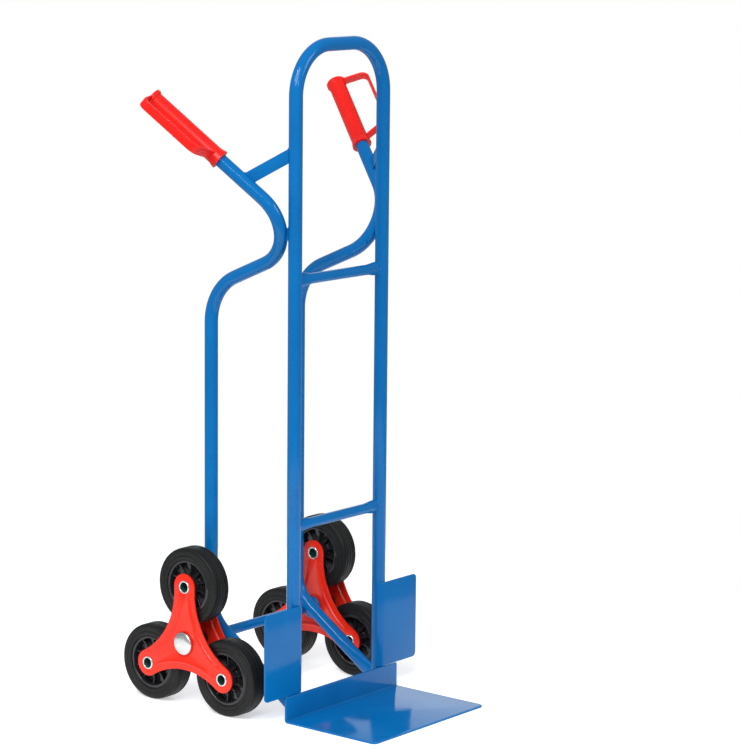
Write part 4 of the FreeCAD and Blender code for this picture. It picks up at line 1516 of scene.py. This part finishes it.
@dataclass
class Studio:
    """Pale floor, soft lights and the camera.

    The surround is brighter towards far_wall: from the cosine wall_edge to the cosine
    wall_middle off that direction it rises from surround to wall_light.
    """

    place: Vector = Vector((-4.3283, -3.6306, 1.6096))
    azimuth: float = 0.6775
    down: float = 0.1692
    roll: float = 0.0095
    lens: float = 143.54
    floor_radius: float = 1.3
    surround: float = 0.45
    far_wall: tuple[float, float, float] = (0.74, 0.595, 0.31)
    wall_edge: float = 0.93
    wall_middle: float = 0.985
    wall_light: float = 1.25
    lights: tuple[SoftBox, ...] = (
        SoftBox("key_softbox", (-3.6, -1.7, 3.6), (0, 0, 0.5), 2.4, 2.4, 150),
        SoftBox("fill_softbox", (1.4, -4.2, 2.8), (0, 0, 0.5), 1.6, 1.6, 60),
        SoftBox("left_strip", (-2.27, 0.03, 2.84), (0.1, 0, 0.2), 0.15, 1.2, 30),
        SoftBox("front_strip", (-2.34, -3.6, 2.45), (0, 0, 1.0), 0.1, 0.6, 12),
    )

    def build(self) -> None:
        """Set up the floor, the lights and the camera."""
        self.floor()
        self.sky()
        for light in self.lights:
            light.build()
        self.camera()

    def floor(self) -> None:
        """A pale round floor that runs out into the white surround."""
        deselect_all()
        bpy.ops.mesh.primitive_circle_add(
            vertices=128, radius=self.floor_radius, fill_type="NGON"
        )
        floor = bpy.context.object
        floor.name = "studio_floor"
        floor.data.materials.append(STUDIO_FLOOR.material())

    def sky(self) -> None:
        """A white surround, with less light coming from it than it shows."""
        world = bpy.data.worlds.new("white_surround")
        world.use_nodes = True
        seen = world.node_tree.nodes["Background"]
        seen.inputs["Color"].default_value = linear("ffffff")
        seen.inputs["Strength"].default_value = 1.0
        # the wall on the far side is brighter, and shows in the blade of the toe plate
        place = add_node(world, "ShaderNodeTexCoord")
        facing = add_node(
            world, "ShaderNodeVectorMath", {0: (place, "Generated")}, operation="DOT_PRODUCT"
        )
        facing.inputs[1].default_value = self.far_wall
        wall = add_node(
            world, "ShaderNodeMapRange", {"Value": (facing, "Value")},
            From_Min=self.wall_edge, From_Max=self.wall_middle,
            To_Min=self.surround, To_Max=self.wall_light,
        )
        lighting = add_node(
            world, "ShaderNodeBackground", {"Strength": (wall, "Result")}, Color=linear("eef8ff")
        )
        path = add_node(world, "ShaderNodeLightPath")
        shaders = {1: (lighting, "Background"), 2: (seen, "Background")}
        mix = add_node(world, "ShaderNodeMixShader", {"Fac": (path, "Is Camera Ray"), **shaders})
        output = world.node_tree.nodes["World Output"]
        world.node_tree.links.new(mix.outputs["Shader"], output.inputs["Surface"])
        bpy.context.scene.world = world

    def camera(self) -> None:
        """A long lens seen from the front left, slightly from above."""
        level_part = math.cos(self.down)
        ahead = Vector((
            math.cos(self.azimuth) * level_part,
            math.sin(self.azimuth) * level_part,
            -math.sin(self.down),
        ))
        level = ahead.cross(Z_AXIS).normalized()
        rise = level.cross(ahead)
        right = level * math.cos(self.roll) + rise * math.sin(self.roll)
        up = rise * math.cos(self.roll) - level * math.sin(self.roll)
        data = bpy.data.cameras.new("studio_camera")
        data.sensor_fit = "HORIZONTAL"
        data.sensor_width = 36.0
        data.lens = self.lens
        camera = bpy.data.objects.new("studio_camera", data)
        turn = Matrix((right, up, -ahead)).transposed().to_4x4()
        camera.matrix_world = Matrix.Translation(self.place) @ turn
        bpy.context.scene.collection.objects.link(camera)
        bpy.context.scene.camera = camera
        bpy.context.scene.view_settings.view_transform = "Standard"


def main() -> None:
    """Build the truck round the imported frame, then the studio."""
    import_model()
    deselect_all()
    frame = BackFrame()
    frame.build()
    ToePlate(frame).build()
    for side, turn in ((Side.LEFT, 16.0), (Side.RIGHT, 42.0)):
        WheelGuard(frame, side).build()
        handle = Handle(frame, side)
        handle.build()
        Grip(handle, turn).build()
    Axle().build()
    for side in Side:
        Star(side).build()
    WheelSet().build()
    Studio().build()


if __name__ == "__main__":
    main()
